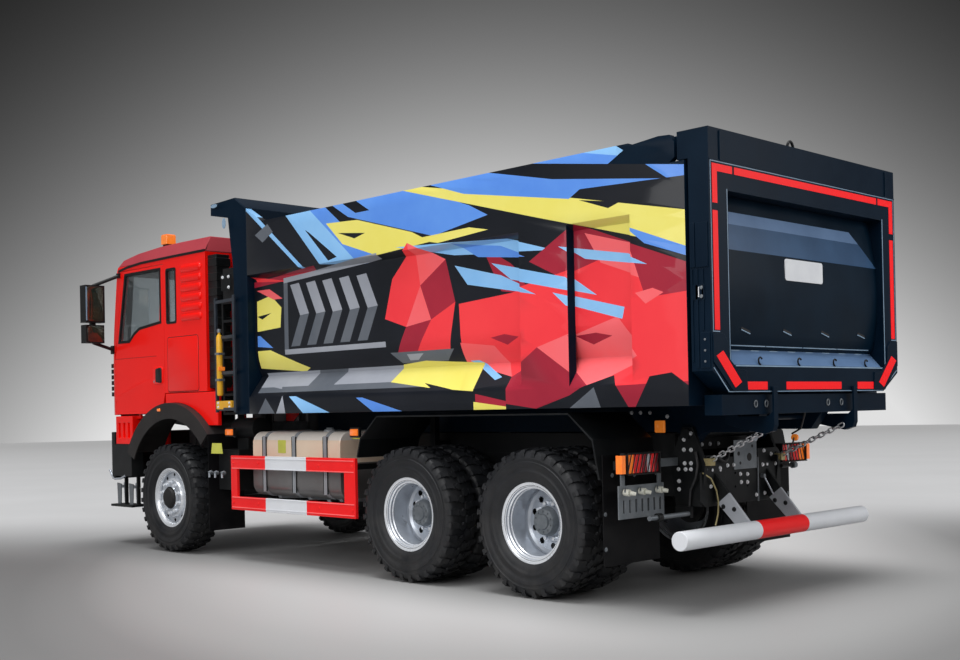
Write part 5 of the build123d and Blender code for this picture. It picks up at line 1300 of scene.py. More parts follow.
# cab trim
cab = {
    "side": 1.14,
    "ribs": {"rear": 2.045, "front": 2.425, "low": 2.325, "pitch": 0.0975, "count": 6, "height": 0.078},
    "locker": (2.115, 2.701, 1.617, 2.18),
    "handle": (2.8, 2.99, 1.705, 1.888),
    "opening": [(2.812, 2.908), (3.556, 2.908), (3.716, 2.165), (3.47, 2.163), (3.356, 2.243),
                (3.252, 2.289), (2.99, 2.315), (2.812, 2.332)],
    "glass": [(2.842, 2.88), (3.53, 2.88), (3.684, 2.19), (3.478, 2.192), (3.37, 2.272),
              (3.262, 2.318), (2.995, 2.344), (2.842, 2.358)],
    "quarter": (2.515, 2.715, 2.315, 2.885),
    "crease": [(3.06, 1.772), (3.3, 1.715), (3.6, 1.632), (3.782, 1.575)],
    "roofSeam": [(1.972, 3), (2.6, 2.998), (3.2, 2.992), (3.5, 2.972), (3.68, 2.945)],
}


def seamRing(shape, x0, x1, z0, z1, radius, width, low, high, name):
    inner = roundedOutline(x0 + width, x1 - width, z0 + width, z1 - width, radius - width / 2)
    shape.band(roundedOutline(x0, x1, z0, z1, radius), inner, "y", low, high, name)


def cabSides():
    side = cab["side"]
    shape = Shape()
    ribs = cab["ribs"]
    for n in range(ribs["count"]):
        z = ribs["low"] + n * ribs["pitch"]
        outline = roundedOutline(ribs["rear"], ribs["front"], z, z + ribs["height"], 0.036, 5)
        shape.pillow(outline, "y", side - 0.002, side + 0.02, 0.03, "cabRed")
    x0, x1, z0, z1 = cab["locker"]
    shape.pillow(roundedOutline(x0 + 0.006, x1 - 0.006, z0 + 0.006, z1 - 0.006, 0.03), "y", side - 0.002,
        side + 0.004, 0.004, "cabRed")
    shape.both().piece("cabPressings", "cab", "cab_red", sharp=60)
    shape = Shape()
    seamRing(shape, x0, x1, z0, z1, 0.034, 0.006, side - 0.002, side + 0.0012, "gapDark")
    x0, x1, z0, z1 = cab["quarter"]
    seamRing(shape, x0, x1, z0, z1, 0.03, 0.022, side - 0.012, side + 0.003, "plasticBlack")
    seam = cab["roofSeam"]
    shape.plate([(x, z - 0.013) for x, z in seam] + [(x, z + 0.012) for x, z in seam[::-1]], "y",
        side - 0.004, side + 0.007, "plasticBlack")
    # dark blocks at the front corner: painted shade in the slots of a vent
    for n in range(6):
        z = 1.6 + n * 0.062
        place = landing("cab_shell", (3.862, 1.6, z), (0, -1, 0))
        if place:
            shape.block((3.815, place.y - 0.012, z), (3.905, place.y + 0.005, z + 0.045), "gapDark")
    shape.block((3.395, 1.06, 1.385), (3.785, 1.088, 1.43), "plasticBlack")
    shape.both().piece("cabSeams", "cab", "black_plastic", sharp=40)
    # marker lamps on the arches
    shape = Shape()
    shape.pillow(roundedOutline(2.735, 2.8, 1.42, 1.455, 0.012), "y", 1.2, 1.2225, 0.008, "lampAmber")
    shape.both().piece("archMarkers", bodyOf["front_arches"], "lamp_red", sharp=60)


def doorTrim():
    side = cab["side"]
    for flip, body in ((1, "left_door"), (-1, "right_door")):
        shape = Shape()
        shape.band(cab["opening"], cab["glass"], "y", flip * (side - 0.016), flip * (side + 0.002),
            "plasticBlack")
        x0, x1, z0, z1 = cab["handle"]
        # the dark pad between the red bezel and the black handle is painted shade in the handle's recess
        for (back, front, low, high), corner, sunk, rise, inset, name in (
                ((0, 0, 0, 0), 0.035, 0.002, 0.008, 0.006, "cabRed"),
                ((0.016, 0.05, 0.018, 0.018), 0.026, 0, 0.0095, 0.003, "gapDark"),
                ((0.01, 0.098, 0.012, 0.012), 0.022, 0, 0.019, 0.01, "plasticBlack")):
            outline = roundedOutline(x0 + back, x1 - front, z0 + low, z1 - high, corner, 5)
            shape.pillow(outline, "y", flip * (side - sunk), flip * (side + rise), inset, name)
        lock = (x1 - 0.028, z0 + 0.03)
        shape.rod((lock[0], flip * side, lock[1]), (lock[0], flip * (side + 0.012), lock[1]), 0.01,
                  "boltZinc", 12)
        # folded line low on the door
        line = cab["crease"]
        rings = []
        for n, (x, z) in enumerate(line):
            reach = 0.0 if n in (0, len(line) - 1) else 0.007
            section = ((-0.002, -0.03), (reach + 0.0005, 0.004), (-0.002, 0.016))
            rings.append([(x, flip * (side + out), z + up) for out, up in section])
        shape.loft(rings, "cabRed")
        # lower sill line
        shape.block((2.92, flip * (side - 0.002), 1.998), (3.782, flip * (side + 0.0008), 2.001), "gapDark")
        shape.piece(body + "Trim", body, "cab_red", sharp=40)


def archLiners():
    # inner walls of the wheel arches and the strips under the doors
    shape = Shape()
    shape.plate([(3.28, 1.26), (3.69, 1.3), (3.69, 1.62), (3.28, 1.62)], "y", 0.555, 0.575, "plasticBlack")
    shape.block((3.36, 1.062, 1.352), (3.785, 1.088, 1.44), "cabRed")
    shape.both().piece("archLiners", "cab", "cab_red", bevel=0.002)


def mirrorFaces():
    shape = Shape()
    for low, high in ((2.405, 2.775), (2.182, 2.352)):
        shape.pillow(roundedOutline(1.298, 1.482, low, high, 0.03, 5), "x", 3.7365, 3.7325, 0.003,
            "mirrorGlass")
    # lit rims along the outer edge of each housing
    shape.block((3.7325, 1.486, 2.41), (3.738, 1.4985, 2.77), "gateLine")
    shape.both().piece("mirrorFaces", bodyOf["mirrors"], "glass", sharp=50)


def frontSteps():
    shape = Shape()
    for x in (3.605, 3.86):
        shape.plate([(x - 0.05, 0.645), (x + 0.045, 0.655), (x + 0.03, 0.425), (x - 0.035, 0.425)], "y",
            1.072, 1.082, "plateGrey")
        shape.plate([(x - 0.04, 0.655), (x + 0.035, 0.655), (x + 0.015, 0.425), (x - 0.02, 0.425)], "y",
            1.0, 1.01, "rimSilver")
        shape.block((x - 0.055, 1.01, 0.6), (x + 0.055, 1.072, 0.628), "rimSilver")
    shape.block((3.5, 0.985, 0.4005), (4.0, 1.095, 0.408), "rimSilver")
    for x in (3.52, 3.6, 3.68, 3.76, 3.84, 3.92):
        shape.block((x, 0.985, 0.408), (x + 0.035, 1.095, 0.414), "plateGrey")
    line = [(3.957, 0.8), (3.905, 0.735), (3.845, 0.7), (3.72, 0.708), (3.612, 0.742)]
    shape.tube([(x, 1.137, z) for x, z in line], 0.012, "rimSilver", 10)
    for n in range(9):
        z = 0.8 + n * 0.045
        shape.block((3.975, 0.985, z), (4.012, 1.06, z + 0.026), "plasticBlack")
    shape.both().piece("frontSteps", bodyOf["bumper"], "rim_silver", bevel=0.0015, sharp=40)


cabSides()
doorTrim()
archLiners()
mirrorFaces()
frontSteps()
print("cab trimmed")

# between the axles
tank = {
    "strapsAt": (0.15, 0.61, 1.07), "strapEdges": (-0.03, 0.024),
    "capAt": (0.34, 0.9),
    "cap": [(1.188, 0.0), (1.188, 0.058), (1.212, 0.058), (1.226, 0.05), (1.232, 0.03), (1.232, 0.0)],
    "sticker": (0.74, 0.86, 1.015, 1.135),
}
guard = {
    "edges": [(0.962, 0.97), (0.868, 0.876), (0.594, 0.602), (0.5, 0.508)],
    "spans": [(-0.385, 0.28, "guardEdge"), (0.28, 0.9, "guardWhite"), (0.9, 1.445, "guardEdge")],
    "bolts": [(x, z) for x in (-0.36, 0.1, 1.02, 1.42) for z in (0.55, 0.92)],
}
fittings = {
    "markers": [(1.56, 1.68, 1.178, 1.238), (-0.335, -0.235, 1.176, 1.236)],
    "label": [(1.6, 1.005), (1.8, 1.005), (1.78, 1.105), (1.62, 1.105)],
    "couplingsAt": (1.58, 1.7, 1.8),
}
ladder = {
    "bottleAt": (1.615, 1.222),
    "bottle": [(1.56, 0.0), (1.56, 0.024), (1.575, 0.03), (2.11, 0.03), (2.135, 0.024), (2.15, 0.013),
               (2.165, 0.013), (2.168, 0.0)],
    "foot": (1.42, 1.68, 1.43, 1.51),
    "rungs": (1.415, 1.76, 2.1, 2.445),
    "rung": [(1.3, 1.262), (1.705, 1.206), (1.705, 1.186), (1.3, 1.244)],
    "plate": (1.44, 1.6, 2.56, 2.72), "plateBolts": [(1.47, 2.69), (1.57, 2.69), (1.47, 2.59)],
    "postHoles": [(1.62, 3.375, 0.055, 0.018), (1.455, 3.19, 0.03, 0.05)],
}


def onEnd(shape, x, y):
    # stands a turned form upright at a place on the plan
    for vert in shape.mesh.verts:
        vert.co = Vector((x + vert.co.x, y + vert.co.z, vert.co.y))


def tankTrim():
    # strap edges, filler cap, blank sticker
    shape = Shape()
    for x in tank["strapsAt"]:
        for edge in tank["strapEdges"]:
            shape.block((x + edge, 1.098, 0.66), (x + edge + 0.006, 1.1105, 1.165), "gapDark")
        shape.block((x - 0.022, 1.1, 0.655), (x + 0.022, 1.1085, 1.172), "strapGrey")
        shape.block((x - 0.006, 1.104, 0.66), (x + 0.006, 1.1125, 1.17), "strapGrey")
    shape.piece("tankStraps", "chassis", "strap_grey", bevel=0.001)
    shape = Shape()
    shape.lathe(tank["cap"], 0.0, 0.0, "strapGrey", steps=24)
    onEnd(shape, *tank["capAt"])
    shape.block((0.3, 0.89, 1.226), (0.38, 0.91, 1.244), "plateGrey")
    shape.piece("tankCap", "chassis", "tank_aluminium", bevel=0.002)
    shape = Shape()
    shape.plate(roundedOutline(*tank["sticker"], 0.01), "y", 1.0985, 1.1015, "labelYellow")
    shape.piece("tankSticker", "chassis", "tank_aluminium")


def guardTrim():
    # lit edges of the guard's boards, and their bolts
    shape = Shape()
    for z0, z1 in guard["edges"]:
        for x0, x1, name in guard["spans"]:
            shape.block((x0, 1.2185, z0), (x1, 1.2235, z1), name)
    shape.both().piece("guardEdges", "chassis", "guard_red", bevel=0.001)
    points = [((x, flip * 1.2205, z), (0, flip, 0)) for flip in (1, -1) for x, z in guard["bolts"]]
    studs("guardBolts", "chassis", points, "guardRed", radius=0.01, height=0.005)


def markerLamp(shape, x0, x1, y, z0, z1, flip):
    low = (x0 - 0.012, flip * (y - 0.03), z0 - 0.012)
    high = (x1 + 0.012, flip * (y - 0.004), z1 + 0.012)
    shape.block(low, high, "plasticBlack")
    outline = roundedOutline(x0, x1, z0, z1, 0.01)
    shape.pillow(outline, "y", flip * (y - 0.006), flip * (y + 0.01), 0.006, "lampAmber")


def sideFittings():
    shape = Shape()
    for flip in (1, -1):
        for x0, x1, z0, z1 in fittings["markers"]:
            markerLamp(shape, x0, x1, 1.128, z0, z1, flip)
        shape.rod((1.62, flip * 1.06, 1.165), (1.62, flip * 1.11, 1.19), 0.012, "plateGrey")
        shape.block((-0.335, flip * 1.04, 1.15), (-0.235, flip * 1.11, 1.16), "labelYellow")
    shape.piece("sideMarkers", "chassis", "beacon_orange", bevel=0.001, sharp=50)
    # box behind the front wheel: blank label and pipe couplings
    shape = Shape()
    shape.plate(fittings["label"], "y", 1.214, 1.2175, "labelYellow")
    shape.piece("boxLabel", "chassis", "canister_yellow")
    shape = Shape()
    for x in fittings["couplingsAt"]:
        shape.rod((x, 1.205, 0.82), (x, 1.245, 0.815), 0.016, "plateGrey", 12)
        shape.rod((x, 1.24, 0.815), (x, 1.24, 0.775), 0.011, "rimSilver", 10)
        shape.rod((x - 0.025, 1.235, 0.838), (x + 0.02, 1.238, 0.826), 0.007, "rimSilver", 8)
    shape.piece("boxCouplings", "chassis", "rim_silver", sharp=50)


def ladderFittings():
    # gold-coloured bottle clipped to the ladder, with its foot plate
    shape = Shape()
    shape.lathe(ladder["bottle"], 0.0, 0.0, "canisterYellow", steps=24)
    onEnd(shape, *ladder["bottleAt"])
    shape.rod((1.615, 1.222, 2.165), (1.615, 1.222, 2.198), 0.022, "plateGrey", 12)
    for z in (1.7, 1.95):
        shape.block((1.58, 1.188, z), (1.65, 1.2545, z + 0.022), "plateGrey")
    # the small orange block glows: painted light on a part that is no lamp
    shape.block((1.575, 1.19, 1.8), (1.59, 1.256, 1.835), "beaconOrange")
    shape.plate(roundedOutline(*ladder["foot"], 0.012), "y", 1.188, 1.226, "canisterYellow")
    shape.piece("ladderBottle", "bed", "canister_yellow", bevel=0.001, sharp=50)
    points = [((x, 1.226, z), (0, 1, 0)) for x in (1.455, 1.645) for z in (1.452, 1.49)]
    studs("ladderFootBolts", "bed", points, "plateWhite", radius=0.01, height=0.008)
    # outer rail and rungs over the post
    shape = Shape()
    for flip in (1, -1):
        shape.block((1.29, flip * 1.249, 1.4), (1.322, flip * 1.268, 2.5), "ladderSteel")
        shape.block((1.69, flip * 1.186, 1.4), (1.716, flip * 1.212, 2.5), "ladderSteel")
        for z in ladder["rungs"]:
            shape.plate([(x, flip * y) for x, y in ladder["rung"]], "z", z, z + 0.03, "ladderSteel")
    shape.piece("ladderRail", "bed", "black_plastic", bevel=0.002)
    shape = Shape()
    shape.plate(roundedOutline(*ladder["plate"], 0.012), "y", 1.19, 1.2, "frameBlack")
    shape.piece("ladderPlate", "bed", "black_plastic", bevel=0.001)
    points = [((x, 1.2, z), (0, 1, 0)) for x, z in ladder["plateBolts"]]
    studs("ladderPlateBolts", "bed", points, "plateWhite", radius=0.012, height=0.01)
    # lightening holes in the head of the post, drawn as pale discs: painted light seen through them
    shape = Shape()
    for x, z, half, tall in ladder["postHoles"]:
        shape.plate(circle(x, z, half, tall=tall), "y", 1.249, 1.2525, "gateLine")
    shape.both().piece("postHoles", "bed", "body_dark")


tankTrim()
guardTrim()
sideFittings()
ladderFittings()
print("side fittings made")

# rear fittings
rear = {
    "lampLow": 0.913, "lampHigh": 1.064, "lampInner": 0.792, "lampOuter": 1.16,
    "lenses": [(1.155, "lampAmber"), (1.075, "lampRed"), (0.985, "lampWine"), (0.925, "lampWhite"),
               (0.89, "lampRed"), (0.845, "lampWine")],
    "chainStart": (-3.44, 0.463, 0.985), "chainEnd": (-3.945, 0.488, 1.212),
    "linkHalf": 0.027, "linkWidth": 0.0165, "linkRadius": 0.0062,
    "beamX": -3.402,
    "beamBolts": [(0.379, 0.916), (0.279, 0.911), (0.18, 0.94), (0.1, 0.94), (0.016, 0.869), (-0.078, 0.864),
                  (0.007, 0.809), (-0.076, 0.805), (-0.258, 0.844), (-0.34, 0.925), (-0.192, 0.703),
                  (0.3, 0.72), (0.2, 0.72)],
    "sideBolts": [(-3.25, 1.137), (-3.248, 1.064), (-3.31, 1.064), (-3.253, 0.967), (-3.308, 0.968),
                  (-3.26, 0.924), (-3.307, 0.925), (-3.198, 0.924), (-3.2, 0.838), (-3.199, 0.779)],
    "bedBolts": [(-2.755, 1.334), (-2.839, 1.333), (-2.925, 1.332), (-3.082, 1.304)],
    "flapBolts": [(1.098, 0.908), (1.18, 0.642), (1.18, 0.4), (0.6, 0.9), (0.85, 0.9)],
    "endPlates": [
        [(-0.215, 1.05), (-0.49, 1.05), (-0.528, 1.01), (-0.528, 0.7), (-0.47, 0.655), (-0.215, 0.66)],
        [(0.215, 0.66), (0.47, 0.655), (0.528, 0.7), (0.528, 0.9), (0.4, 0.955), (0.215, 0.955)],
    ],
    "endBolts": [(-0.3, 1.03), (-0.4, 1), (-0.28, 0.925), (-0.46, 0.925), (-0.4, 0.8), (-0.3, 0.71)],
    "holedPlate": [(0.1, 1.12), (-0.2, 1.12), (-0.2, 0.905), (0.1, 0.905)],
    "plateHoles": [(0.04, 1.02, 0.016), (0.02, 0.95, 0.012), (-0.1, 0.99, 0.03), (-0.14, 1.07, 0.012)],
    "couplingsAt": (1.12, 0.95, 0.755),
    "reflector": (-3.062, -2.972, 1.185, 1.275),
    "pipes": [          # start, end, radius, finish, sides
        ((-3.236, -1.02, 1.105), (-3.236, -1.045, 1.105), 0.028, "beaconOrange", 16),
        ((-3.236, -1.02, 1.105), (-3.225, -1.02, 1.065), 0.007, "plateGrey", 8),
        ((-3.3, 0.985, 0.61), (-3.3, 0.52, 0.61), 0.017, "plateGrey", 14),
        ((-3.3, 0.9, 0.61), (-3.3, 0.855, 0.61), 0.03, "frameBlack", 14),
        ((-3.425, -0.27, 0.835), (-3.47, -0.322, 0.7), 0.006, "rimSilver", 8),
        ((-3.405, -0.262, 0.842), (-3.435, -0.262, 0.842), 0.016, "plateGrey", 12),
        ((-3.43, -0.505, 0.905), (-3.43, -0.66, 0.905), 0.014, "frameBlack", 12),
        ((-3.43, -0.66, 0.905), (-3.43, -0.7, 0.905), 0.026, "plateGrey", 12),
    ],
    "hoses": [
        ([(-3.41, 0.5, 0.9), (-3.425, 0.425, 0.86), (-3.435, 0.372, 0.77), (-3.435, 0.35, 0.69),
          (-3.43, 0.352, 0.6), (-3.42, 0.372, 0.52)], 0.006, "brass"),
        ([(-3.41, 0.33, 1.02), (-3.43, 0.3, 0.985), (-3.43, 0.25, 0.97), (-3.42, 0.2, 0.99),
          (-3.405, 0.16, 1.03)], 0.01, "hoseBlack"),
        ([(-3.36, 0.512, 1.05), (-3.39, 0.53, 0.96), (-3.37, 0.535, 0.86), (-3.32, 0.525, 0.78),
          (-3.3, 0.515, 0.66)], 0.009, "hoseBlack"),
    ],
    "valves": [(-2.8, 1.49), (-2.87, 1.49), (-2.94, 1.49), (-2.87, 1.455)],
}


def tailLamps():
    # coloured lenses behind slanted bars, with an orange marker outside
    low, high, inner, outer = (rear[key] for key in ("lampLow", "lampHigh", "lampInner", "lampOuter"))
    shape = Shape()
    shape.block((-3.236, inner, low), (-3.195, outer, high), "plasticBlack")
    ends = [edge for edge, name in rear["lenses"][1:]] + [inner + 0.005]
    for (edge, name), end in zip(rear["lenses"], ends):
        shape.block((-3.246, end + 0.001, low + 0.012), (-3.23, edge, high - 0.012), name)
    bars = 8
    for n in range(bars):
        y = outer - 0.006 - n * (outer - inner - 0.06) / (bars - 1)
        shape.rod((-3.254, y, low + 0.004), (-3.254, y - 0.048, high - 0.004), 0.0045, "plasticBlack", 8)
    for z in (low, high - 0.008):
        shape.block((-3.27, inner, z), (-3.232, outer, z + 0.008), "plasticBlack")
    for y in (inner, outer - 0.008):
        shape.block((-3.264, y, low), (-3.232, y + 0.008, high), "plasticBlack")
    shape.block((-3.23, 1.16, low + 0.03), (-3.2, 1.178, high - 0.03), "plasticBlack")
    shape.block((-3.258, 1.178, low + 0.012), (-3.205, 1.219, high - 0.014), "lampAmber")
    shape.both().piece("tailLamps", "chassis", "lamp_red", ("tail_lamps",), bevel=0.0015)


def chainLink():
    # one round-bar link lying along x
    shape = Shape()
    half, width, radius = rear["linkHalf"], rear["linkWidth"], rear["linkRadius"]
    rings = []
    for along, across in circle(0, 0, 1):
        bend = math.copysign(half - width, along)
        out = Vector((along, across, 0))
        centre = out * width + Vector((bend, 0, 0))
        rings.append([centre + out * a + Vector((0, 0, b)) for a, b in circle(0, 0, radius, 8)])
    shape.loft(rings, "chainSteel", loop=True)
    return shape.taken("link")


def rearChains():
    link = bpy.data.objects.new("link", chainLink())
    scene.collection.objects.link(link)
    (x0, y0, z0), (x1, y1, z1) = rear["chainStart"], rear["chainEnd"]
    pieces = []
    for flip in (1, -1):
        data = bpy.data.meshes.new("chainLine")
        data.from_pydata([(x0, flip * y0, z0), (x1, flip * y1, z1)], [(0, 1)], [])
        pieces.append(grown(data, "link", {"Pitch": 0.0405, "Finish": finish["chainSteel"], "Link": link}))
    bpy.data.objects.remove(link)
    for number, data in enumerate(pieces):
        stands = ("tail_chains",) if number == 0 else ()
        placed(f"tailChain{number}", data, bodyOf["tail_chains"], stands, sharp=60)
    shape = Shape()
    shape.block((-3.475, 0.436, 0.952), (-3.412, 0.492, 1.004), "brass")
    shape.block((-3.42, 0.442, 0.958), (-3.405, 0.486, 0.998), "plateGrey")
    shape.rod((-3.443, 0.43, 0.978), (-3.443, 0.498, 0.978), 0.014, "brass", 12)
    shape.both().piece("chainShackles", bodyOf["tail_chains"], "chain_steel", bevel=0.003)


def rearBolts():
    flips = (1, -1)
    beam = rear["beamX"]
    points = [((beam, y, z), (-1, 0, 0)) for y, z in rear["beamBolts"]]
    points += [((x, flip * 0.495, z), (0, flip, 0)) for flip in flips for x, z in rear["sideBolts"]]
    points += [((beam - 0.004, y, z), (-1, 0, 0)) for y, z in rear["endBolts"]]
    points += [((beam - 0.004, -y, z), (-1, 0, 0)) for y, z in rear["endBolts"][2:]]
    points += [((-3.315, flip * 0.504, 1.182), (-1, 0, 0)) for flip in flips]
    points += [((-3.135, y, 1.088), (-1, 0, 0)) for y in (0.112, 0.009, -0.1)]
    studs("rearBolts", "chassis", points, "boltBright", radius=0.0115, height=0.01)
    points = [((x, flip * 0.46, z), (0, flip, 0)) for flip in flips for x, z in rear["bedBolts"]]
    studs("bedRearBolts", "bed", points, "boltBright", radius=0.011, height=0.01)
    points = [((-3.073, flip * y, z), (-1, 0, 0)) for flip in flips for y, z in rear["flapBolts"]]
    studs("flapBolts", "chassis", points, "plateGrey", radius=0.012, height=0.006)
    points = [((x, flip * (0.35 if side > 0 else 0.33), z), (0, flip * side, 0)) for flip in flips
        for side in (1, -1) for x, z in ((-3.475, 0.655), (-3.565, 0.64))]
    studs("underrunBolts", "chassis", points, "frameBlack", radius=0.013, height=0.01)


def rearPlates():
    beam = rear["beamX"]
    shape = Shape()
    for points in rear["endPlates"]:
        shape.plate(points, "x", beam - 0.004, beam + 0.002, "frameBlack")
    shape.block((beam - 0.012, -0.215, 0.655), (beam, -0.205, 0.985), "plateGrey")
    shape.piece("endPlates", "chassis", "chassis_black", bevel=0.002)
    shape = Shape()
    shape.plate(rear["holedPlate"], "x", beam - 0.006, beam - 0.001, "plateGrey")
    # each hole is a dark disc on the plate: painted shade in the opening
    for y, z, radius in rear["plateHoles"]:
        shape.plate(circle(y, z, radius), "x", beam - 0.008, beam - 0.005, "gapDark")
    shape.rod((beam - 0.005, -0.155, 1.135), (beam - 0.03, -0.155, 1.135), 0.03, "rimSilver", 16)
    shape.piece("holedPlate", "chassis", "chassis_black", bevel=0.001)
    # couplings on the slotted plates
    shape = Shape()
    for y in rear["couplingsAt"]:
        shape.rod((-3.196, y, 0.795), (-3.24, y - 0.004, 0.792), 0.024, "creamPlastic", 14)
        shape.rod((-3.24, y - 0.004, 0.792), (-3.272, y - 0.03, 0.784), 0.017, "creamPlastic", 12, 0.013)
        shape.rod((-3.205, y, 0.822), (-3.222, y + 0.026, 0.8), 0.006, "plateGrey", 8)
    shape.piece("rearCouplings", "chassis", "strap_grey", sharp=50)
    # orange reflectors, whose glow is painted light, for they are no lamps
    shape = Shape()
    outline = roundedOutline(*rear["reflector"], 0.008)
    shape.pillow(outline, "y", 0.459, 0.475, 0.006, "beaconOrange")
    shape.both().piece("rearReflectors", "bed", "beacon_orange")


def rearPipes():
    # cross pipe with its clamp, stay rod, hoses and the small lamp on its stalk
    shape = Shape()
    for row in rear["pipes"]:
        shape.rod(*row)
    shape.block((-3.32, 0.5, 0.58), (-3.19, 0.53, 0.66), "frameBlack")
    for points, radius, name in rear["hoses"]:
        shape.tube(points, radius, name, 8)
    shape.piece("rearPipes", "chassis", "chassis_black", sharp=50)
    # small valve cluster on the side of the skirt
    shape = Shape()
    for x, z in rear["valves"]:
        shape.rod((x, 0.62, z), (x, 0.66, z), 0.012, "boltBright", 10)
    shape.piece("valveCluster", "bed", "body_dark", sharp=50)


def tailgateKeeps():
    # rings and loops under the gate
    shape = Shape()
    for y in (0.713, 0.584, -0.226, -0.416):
        ring = circle(y, 1.385, 0.018, 10, tall=0.022)
        shape.tube([(-3.993, across, up) for across, up in ring + ring[:1]], 0.005, "plateGrey", 8)
    shape.tube([(-3.93, -0.02, 1.4), (-3.9, -0.06, 1.3), (-3.82, -0.14, 1.2), (-3.7, -0.22, 1.16)],
        0.007, "hoseBlack", 8)
    shape.piece("gateKeeps", "bed", "body_dark", sharp=50)


tailLamps()
rearChains()
rearBolts()
rearPlates()
rearPipes()
tailgateKeeps()
print("rear fittings made")


# floor, world, lights and camera
stage = {
    "floorSize": 60, "floorTone": (0.56, 0.562, 0.568), "floorOther": (0.53, 0.532, 0.538),
    "brightAzimuth": -46, "brightHeight": -0.223, "sideFalloff": 10, "closing": 6,
    "upFalloff": 11.3, "brightTone": 3.2, "wallRange": (0.015, 0.74),
    "underReach": ((3.4, 4.8), (0.9, 2.2)), "underShare": 0.55,
    "mirrorStops": [(0, 0.3), (0.1, 0.22), (0.3, 0.06), (0.55, 0.05), (0.75, 0.55), (1, 0.7)],
    # a painted pool of light on the floor, with its tones
    "lightPoolCentre": (1.35, -2.65), "lightPoolReach": (9, 4.6), "towards": (-0.7097, 0.7045),
    "lightPoolStops": [(0, 0.56), (0.22, 0.56), (0.31, 0.47), (0.42, 0.34), (0.48, 0.29), (0.56, 0.2),
                  (0.66, 0.16), (1, 0.14)],
    # the floor painted darker far off: painted falloff of light
    "farShadeTone": 0.38, "farShadeReach": (12, 50),
    "skyLight": 0.5,
    "sunPlace": (118, 78), "sunPower": 2.1, "sunAngle": 24,
    "panels": [         # place, target, size and power
        ("sidePanel", (-3, 9, 5), (0, 0, 1.5), (10, 4), 420),
        ("rearPanel", (-9.5, -3, 4), (-3.8, 0, 1.8), (5, 3), 160),
    ],
}


def toneRamp(tree, share, stops, blue=1.0):
    # grey tones along a line; blue lifts the last channel
    ramp = shaderNode(tree, "ShaderNodeValToRGB", [("Fac", share)])
    elements = ramp.color_ramp.elements
    while len(elements) < len(stops):
        elements.new(0.5)
    for element, (stop, value) in zip(elements, stops):
        element.position = stop
        element.color = (value, value, value * blue, 1)
    return ramp.outputs[0]


def makeFloor():
    data = bpy.data.meshes.new("studioFloor")
    data.from_pydata([(x, y, 0) for x, y in circle(0, 0, stage["floorSize"], 96)], [], [range(96)])
    material = bpy.data.materials.new("floorPale")
    material.use_nodes = True
    tree = material.node_tree
    shader = tree.nodes["Principled BSDF"]
    shader.inputs["Roughness"].default_value = 0.5
    shader.inputs["Specular IOR Level"].default_value = 0.25
    colour = placeGroup(tree, "tone", Tone=rgba(stage["floorTone"]), Other_Tone=rgba(stage["floorOther"]),
        Scale=0.4).outputs["Color"]
    place = objectPlace(tree)
    across, along = shaderNode(tree, "ShaderNodeSeparateXYZ", [(0, place)]).outputs[:2]

    def calc(operation, first, second=0.0):
        return mathNode(tree, operation, first, second)

    # a painted pool of light on the floor in front, drawn out towards the standpoint
    (cx, cy), (rx, ry), (tx, ty) = stage["lightPoolCentre"], stage["lightPoolReach"], stage["towards"]
    x, y = calc("SUBTRACT", across, cx), calc("SUBTRACT", along, cy)
    nearness = calc("ADD", calc("MULTIPLY", x, tx), calc("MULTIPLY", y, ty))
    beside = calc("SUBTRACT", calc("MULTIPLY", x, ty), calc("MULTIPLY", y, tx))
    alongPart = calc("DIVIDE", calc("MAXIMUM", nearness, 0.0), rx)
    acrossPart = calc("DIVIDE", beside, ry)
    reach = calc("ADD", calc("MULTIPLY", acrossPart, acrossPart), calc("MULTIPLY", alongPart, alongPart))
    lightPool = toneRamp(tree, calc("DIVIDE", reach, 1.6), stage["lightPoolStops"])
    colour = blend(tree, mapped(tree, nearness, -3.0, 3.0, smooth=True), colour, lightPool)
    # the floor painted darker far off, a painted falloff of light towards the backdrop
    span = shaderNode(tree, "ShaderNodeVectorMath", [(0, place)], operation="LENGTH").outputs["Value"]
    farShade = mapped(tree, span, *stage["farShadeReach"])
    colour = blend(tree, farShade, colour, rgba([stage["farShadeTone"]] * 3))
    # the close shade under the truck
    spans = [mapped(tree, calc("ABSOLUTE", part), far, near, smooth=True) for part,
        (near, far) in zip((across, along), stage["underReach"])]
    under = calc("MULTIPLY", calc("MULTIPLY", *spans), stage["underShare"])
    colour = blend(tree, under, colour, rgba([0.02] * 3))
    tree.links.new(colour, shader.inputs["Base Color"])
    data.materials.append(material)
    floor = bpy.data.objects.new("studioFloor", data)
    scene.collection.objects.link(floor)


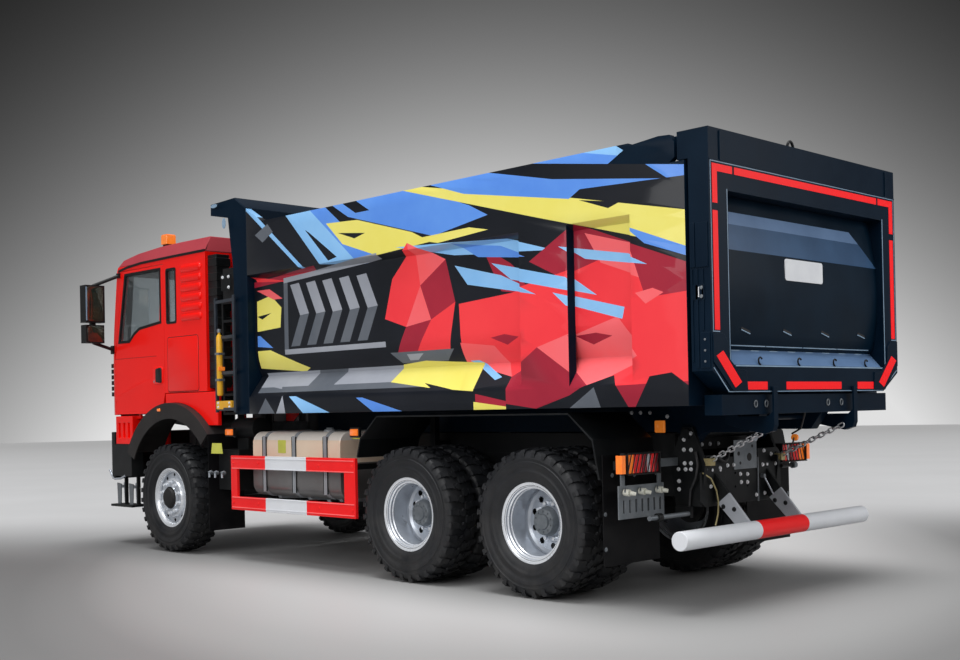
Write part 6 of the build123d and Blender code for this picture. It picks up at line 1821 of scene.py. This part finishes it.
def makeWorld():
    world = bpy.data.worlds.new("studio")
    scene.world = world
    world.use_nodes = True
    tree = world.node_tree
    tree.nodes.clear()
    out = tree.nodes.new("ShaderNodeOutputWorld")
    way = shaderNode(tree, "ShaderNodeTexCoord").outputs["Generated"]
    east, north, up = shaderNode(tree, "ShaderNodeSeparateXYZ", [(0, way)]).outputs

    def calc(operation, first, second=0.0, third=None):
        return mathNode(tree, operation, first, second, third)

    def shine(colour, strength=1.0):
        links = [("Color", colour), ("Strength", strength)]
        return shaderNode(tree, "ShaderNodeBackground", links).outputs[0]

    # seen by the camera: a bright oval that repeats eight times round the room
    eighth = math.pi / 8
    aside = calc("SUBTRACT", calc("ARCTAN2", north, east), math.radians(stage["brightAzimuth"]))
    aside = calc("WRAP", aside, eighth, -eighth)
    raised = calc("SUBTRACT", up, stage["brightHeight"])
    closing = calc("MULTIPLY_ADD", up, stage["closing"], stage["sideFalloff"])
    sideways = calc("MULTIPLY", calc("MULTIPLY", aside, aside), closing)
    upright = calc("MULTIPLY", calc("MULTIPLY", raised, raised), stage["upFalloff"])
    fade = calc("EXPONENT", calc("MULTIPLY", calc("ADD", sideways, upright), -1.0))
    tone = calc("MULTIPLY", fade, stage["brightTone"])
    darkest, lightest = stage["wallRange"]
    seen = shine(calc("MINIMUM", calc("MAXIMUM", tone, darkest), lightest))
    # the light it gives, and what shiny faces mirror
    light = shine(mapped(tree, up, -0.1, 0.8, 0.55, 1.25), stage["skyLight"])
    mirrored = shine(toneRamp(tree, up, stage["mirrorStops"], 1.03))
    path = shaderNode(tree, "ShaderNodeLightPath").outputs
    direct = calc("MAXIMUM", path["Is Camera Ray"], path["Is Transmission Ray"])
    mix = shaderNode(tree, "ShaderNodeMixShader", [(0, path["Is Glossy Ray"]), (1, light), (2, mirrored)])
    mix = shaderNode(tree, "ShaderNodeMixShader", [(0, direct), (1, mix.outputs[0]), (2, seen)])
    tree.links.new(mix.outputs[0], out.inputs[0])


def addLight(title, kind, power, place, target=(0, 0, 0)):
    lamp = bpy.data.lights.new(title, kind)
    lamp.energy = power
    holder = bpy.data.objects.new(title, lamp)
    scene.collection.objects.link(holder)
    holder.location = place
    holder.rotation_euler = (Vector(place) - Vector(target)).to_track_quat("Z", "Y").to_euler()
    return lamp


def makeLights():
    azimuth, height = (math.radians(angle) for angle in stage["sunPlace"])
    flat = math.cos(height)
    source = (math.cos(azimuth) * flat, math.sin(azimuth) * flat, math.sin(height))
    addLight("keySun", "SUN", stage["sunPower"], source).angle = math.radians(stage["sunAngle"])
    for title, place, target, size, power in stage["panels"]:
        lamp = addLight(title, "AREA", power, place, target)
        lamp.shape = "RECTANGLE"
        lamp.size, lamp.size_y = size


def makeCamera():
    # the standpoint, with the picture's plane upright and its view raised by shift
    view = {"place": (-8.4868, 7.748, 1.3945), "yaw": -44.79, "pitch": 0.374, "roll": 1.154,
        "lens": 46.09, "shift": 0.0727}
    yaw, pitch, roll = (math.radians(view[key]) for key in ("yaw", "pitch", "roll"))
    ahead = Vector((math.cos(yaw) * math.cos(pitch), math.sin(yaw) * math.cos(pitch), math.sin(pitch)))
    right = Vector((math.sin(yaw), -math.cos(yaw), 0))
    down = ahead.cross(right)
    turnedRight = right * math.cos(roll) + down * math.sin(roll)
    turnedDown = down * math.cos(roll) - right * math.sin(roll)
    camera = bpy.data.objects.new("camera", bpy.data.cameras.new("camera"))
    scene.collection.objects.link(camera)
    matrix = Matrix((turnedRight, -turnedDown, -ahead)).transposed().to_4x4()
    matrix.translation = Vector(view["place"])
    camera.matrix_world = matrix
    camera.data.lens = view["lens"]
    camera.data.shift_y = view["shift"]
    scene.camera = camera


makeFloor()
makeWorld()
makeLights()
makeCamera()
scene.view_settings.view_transform = "Standard"
print("stage set")
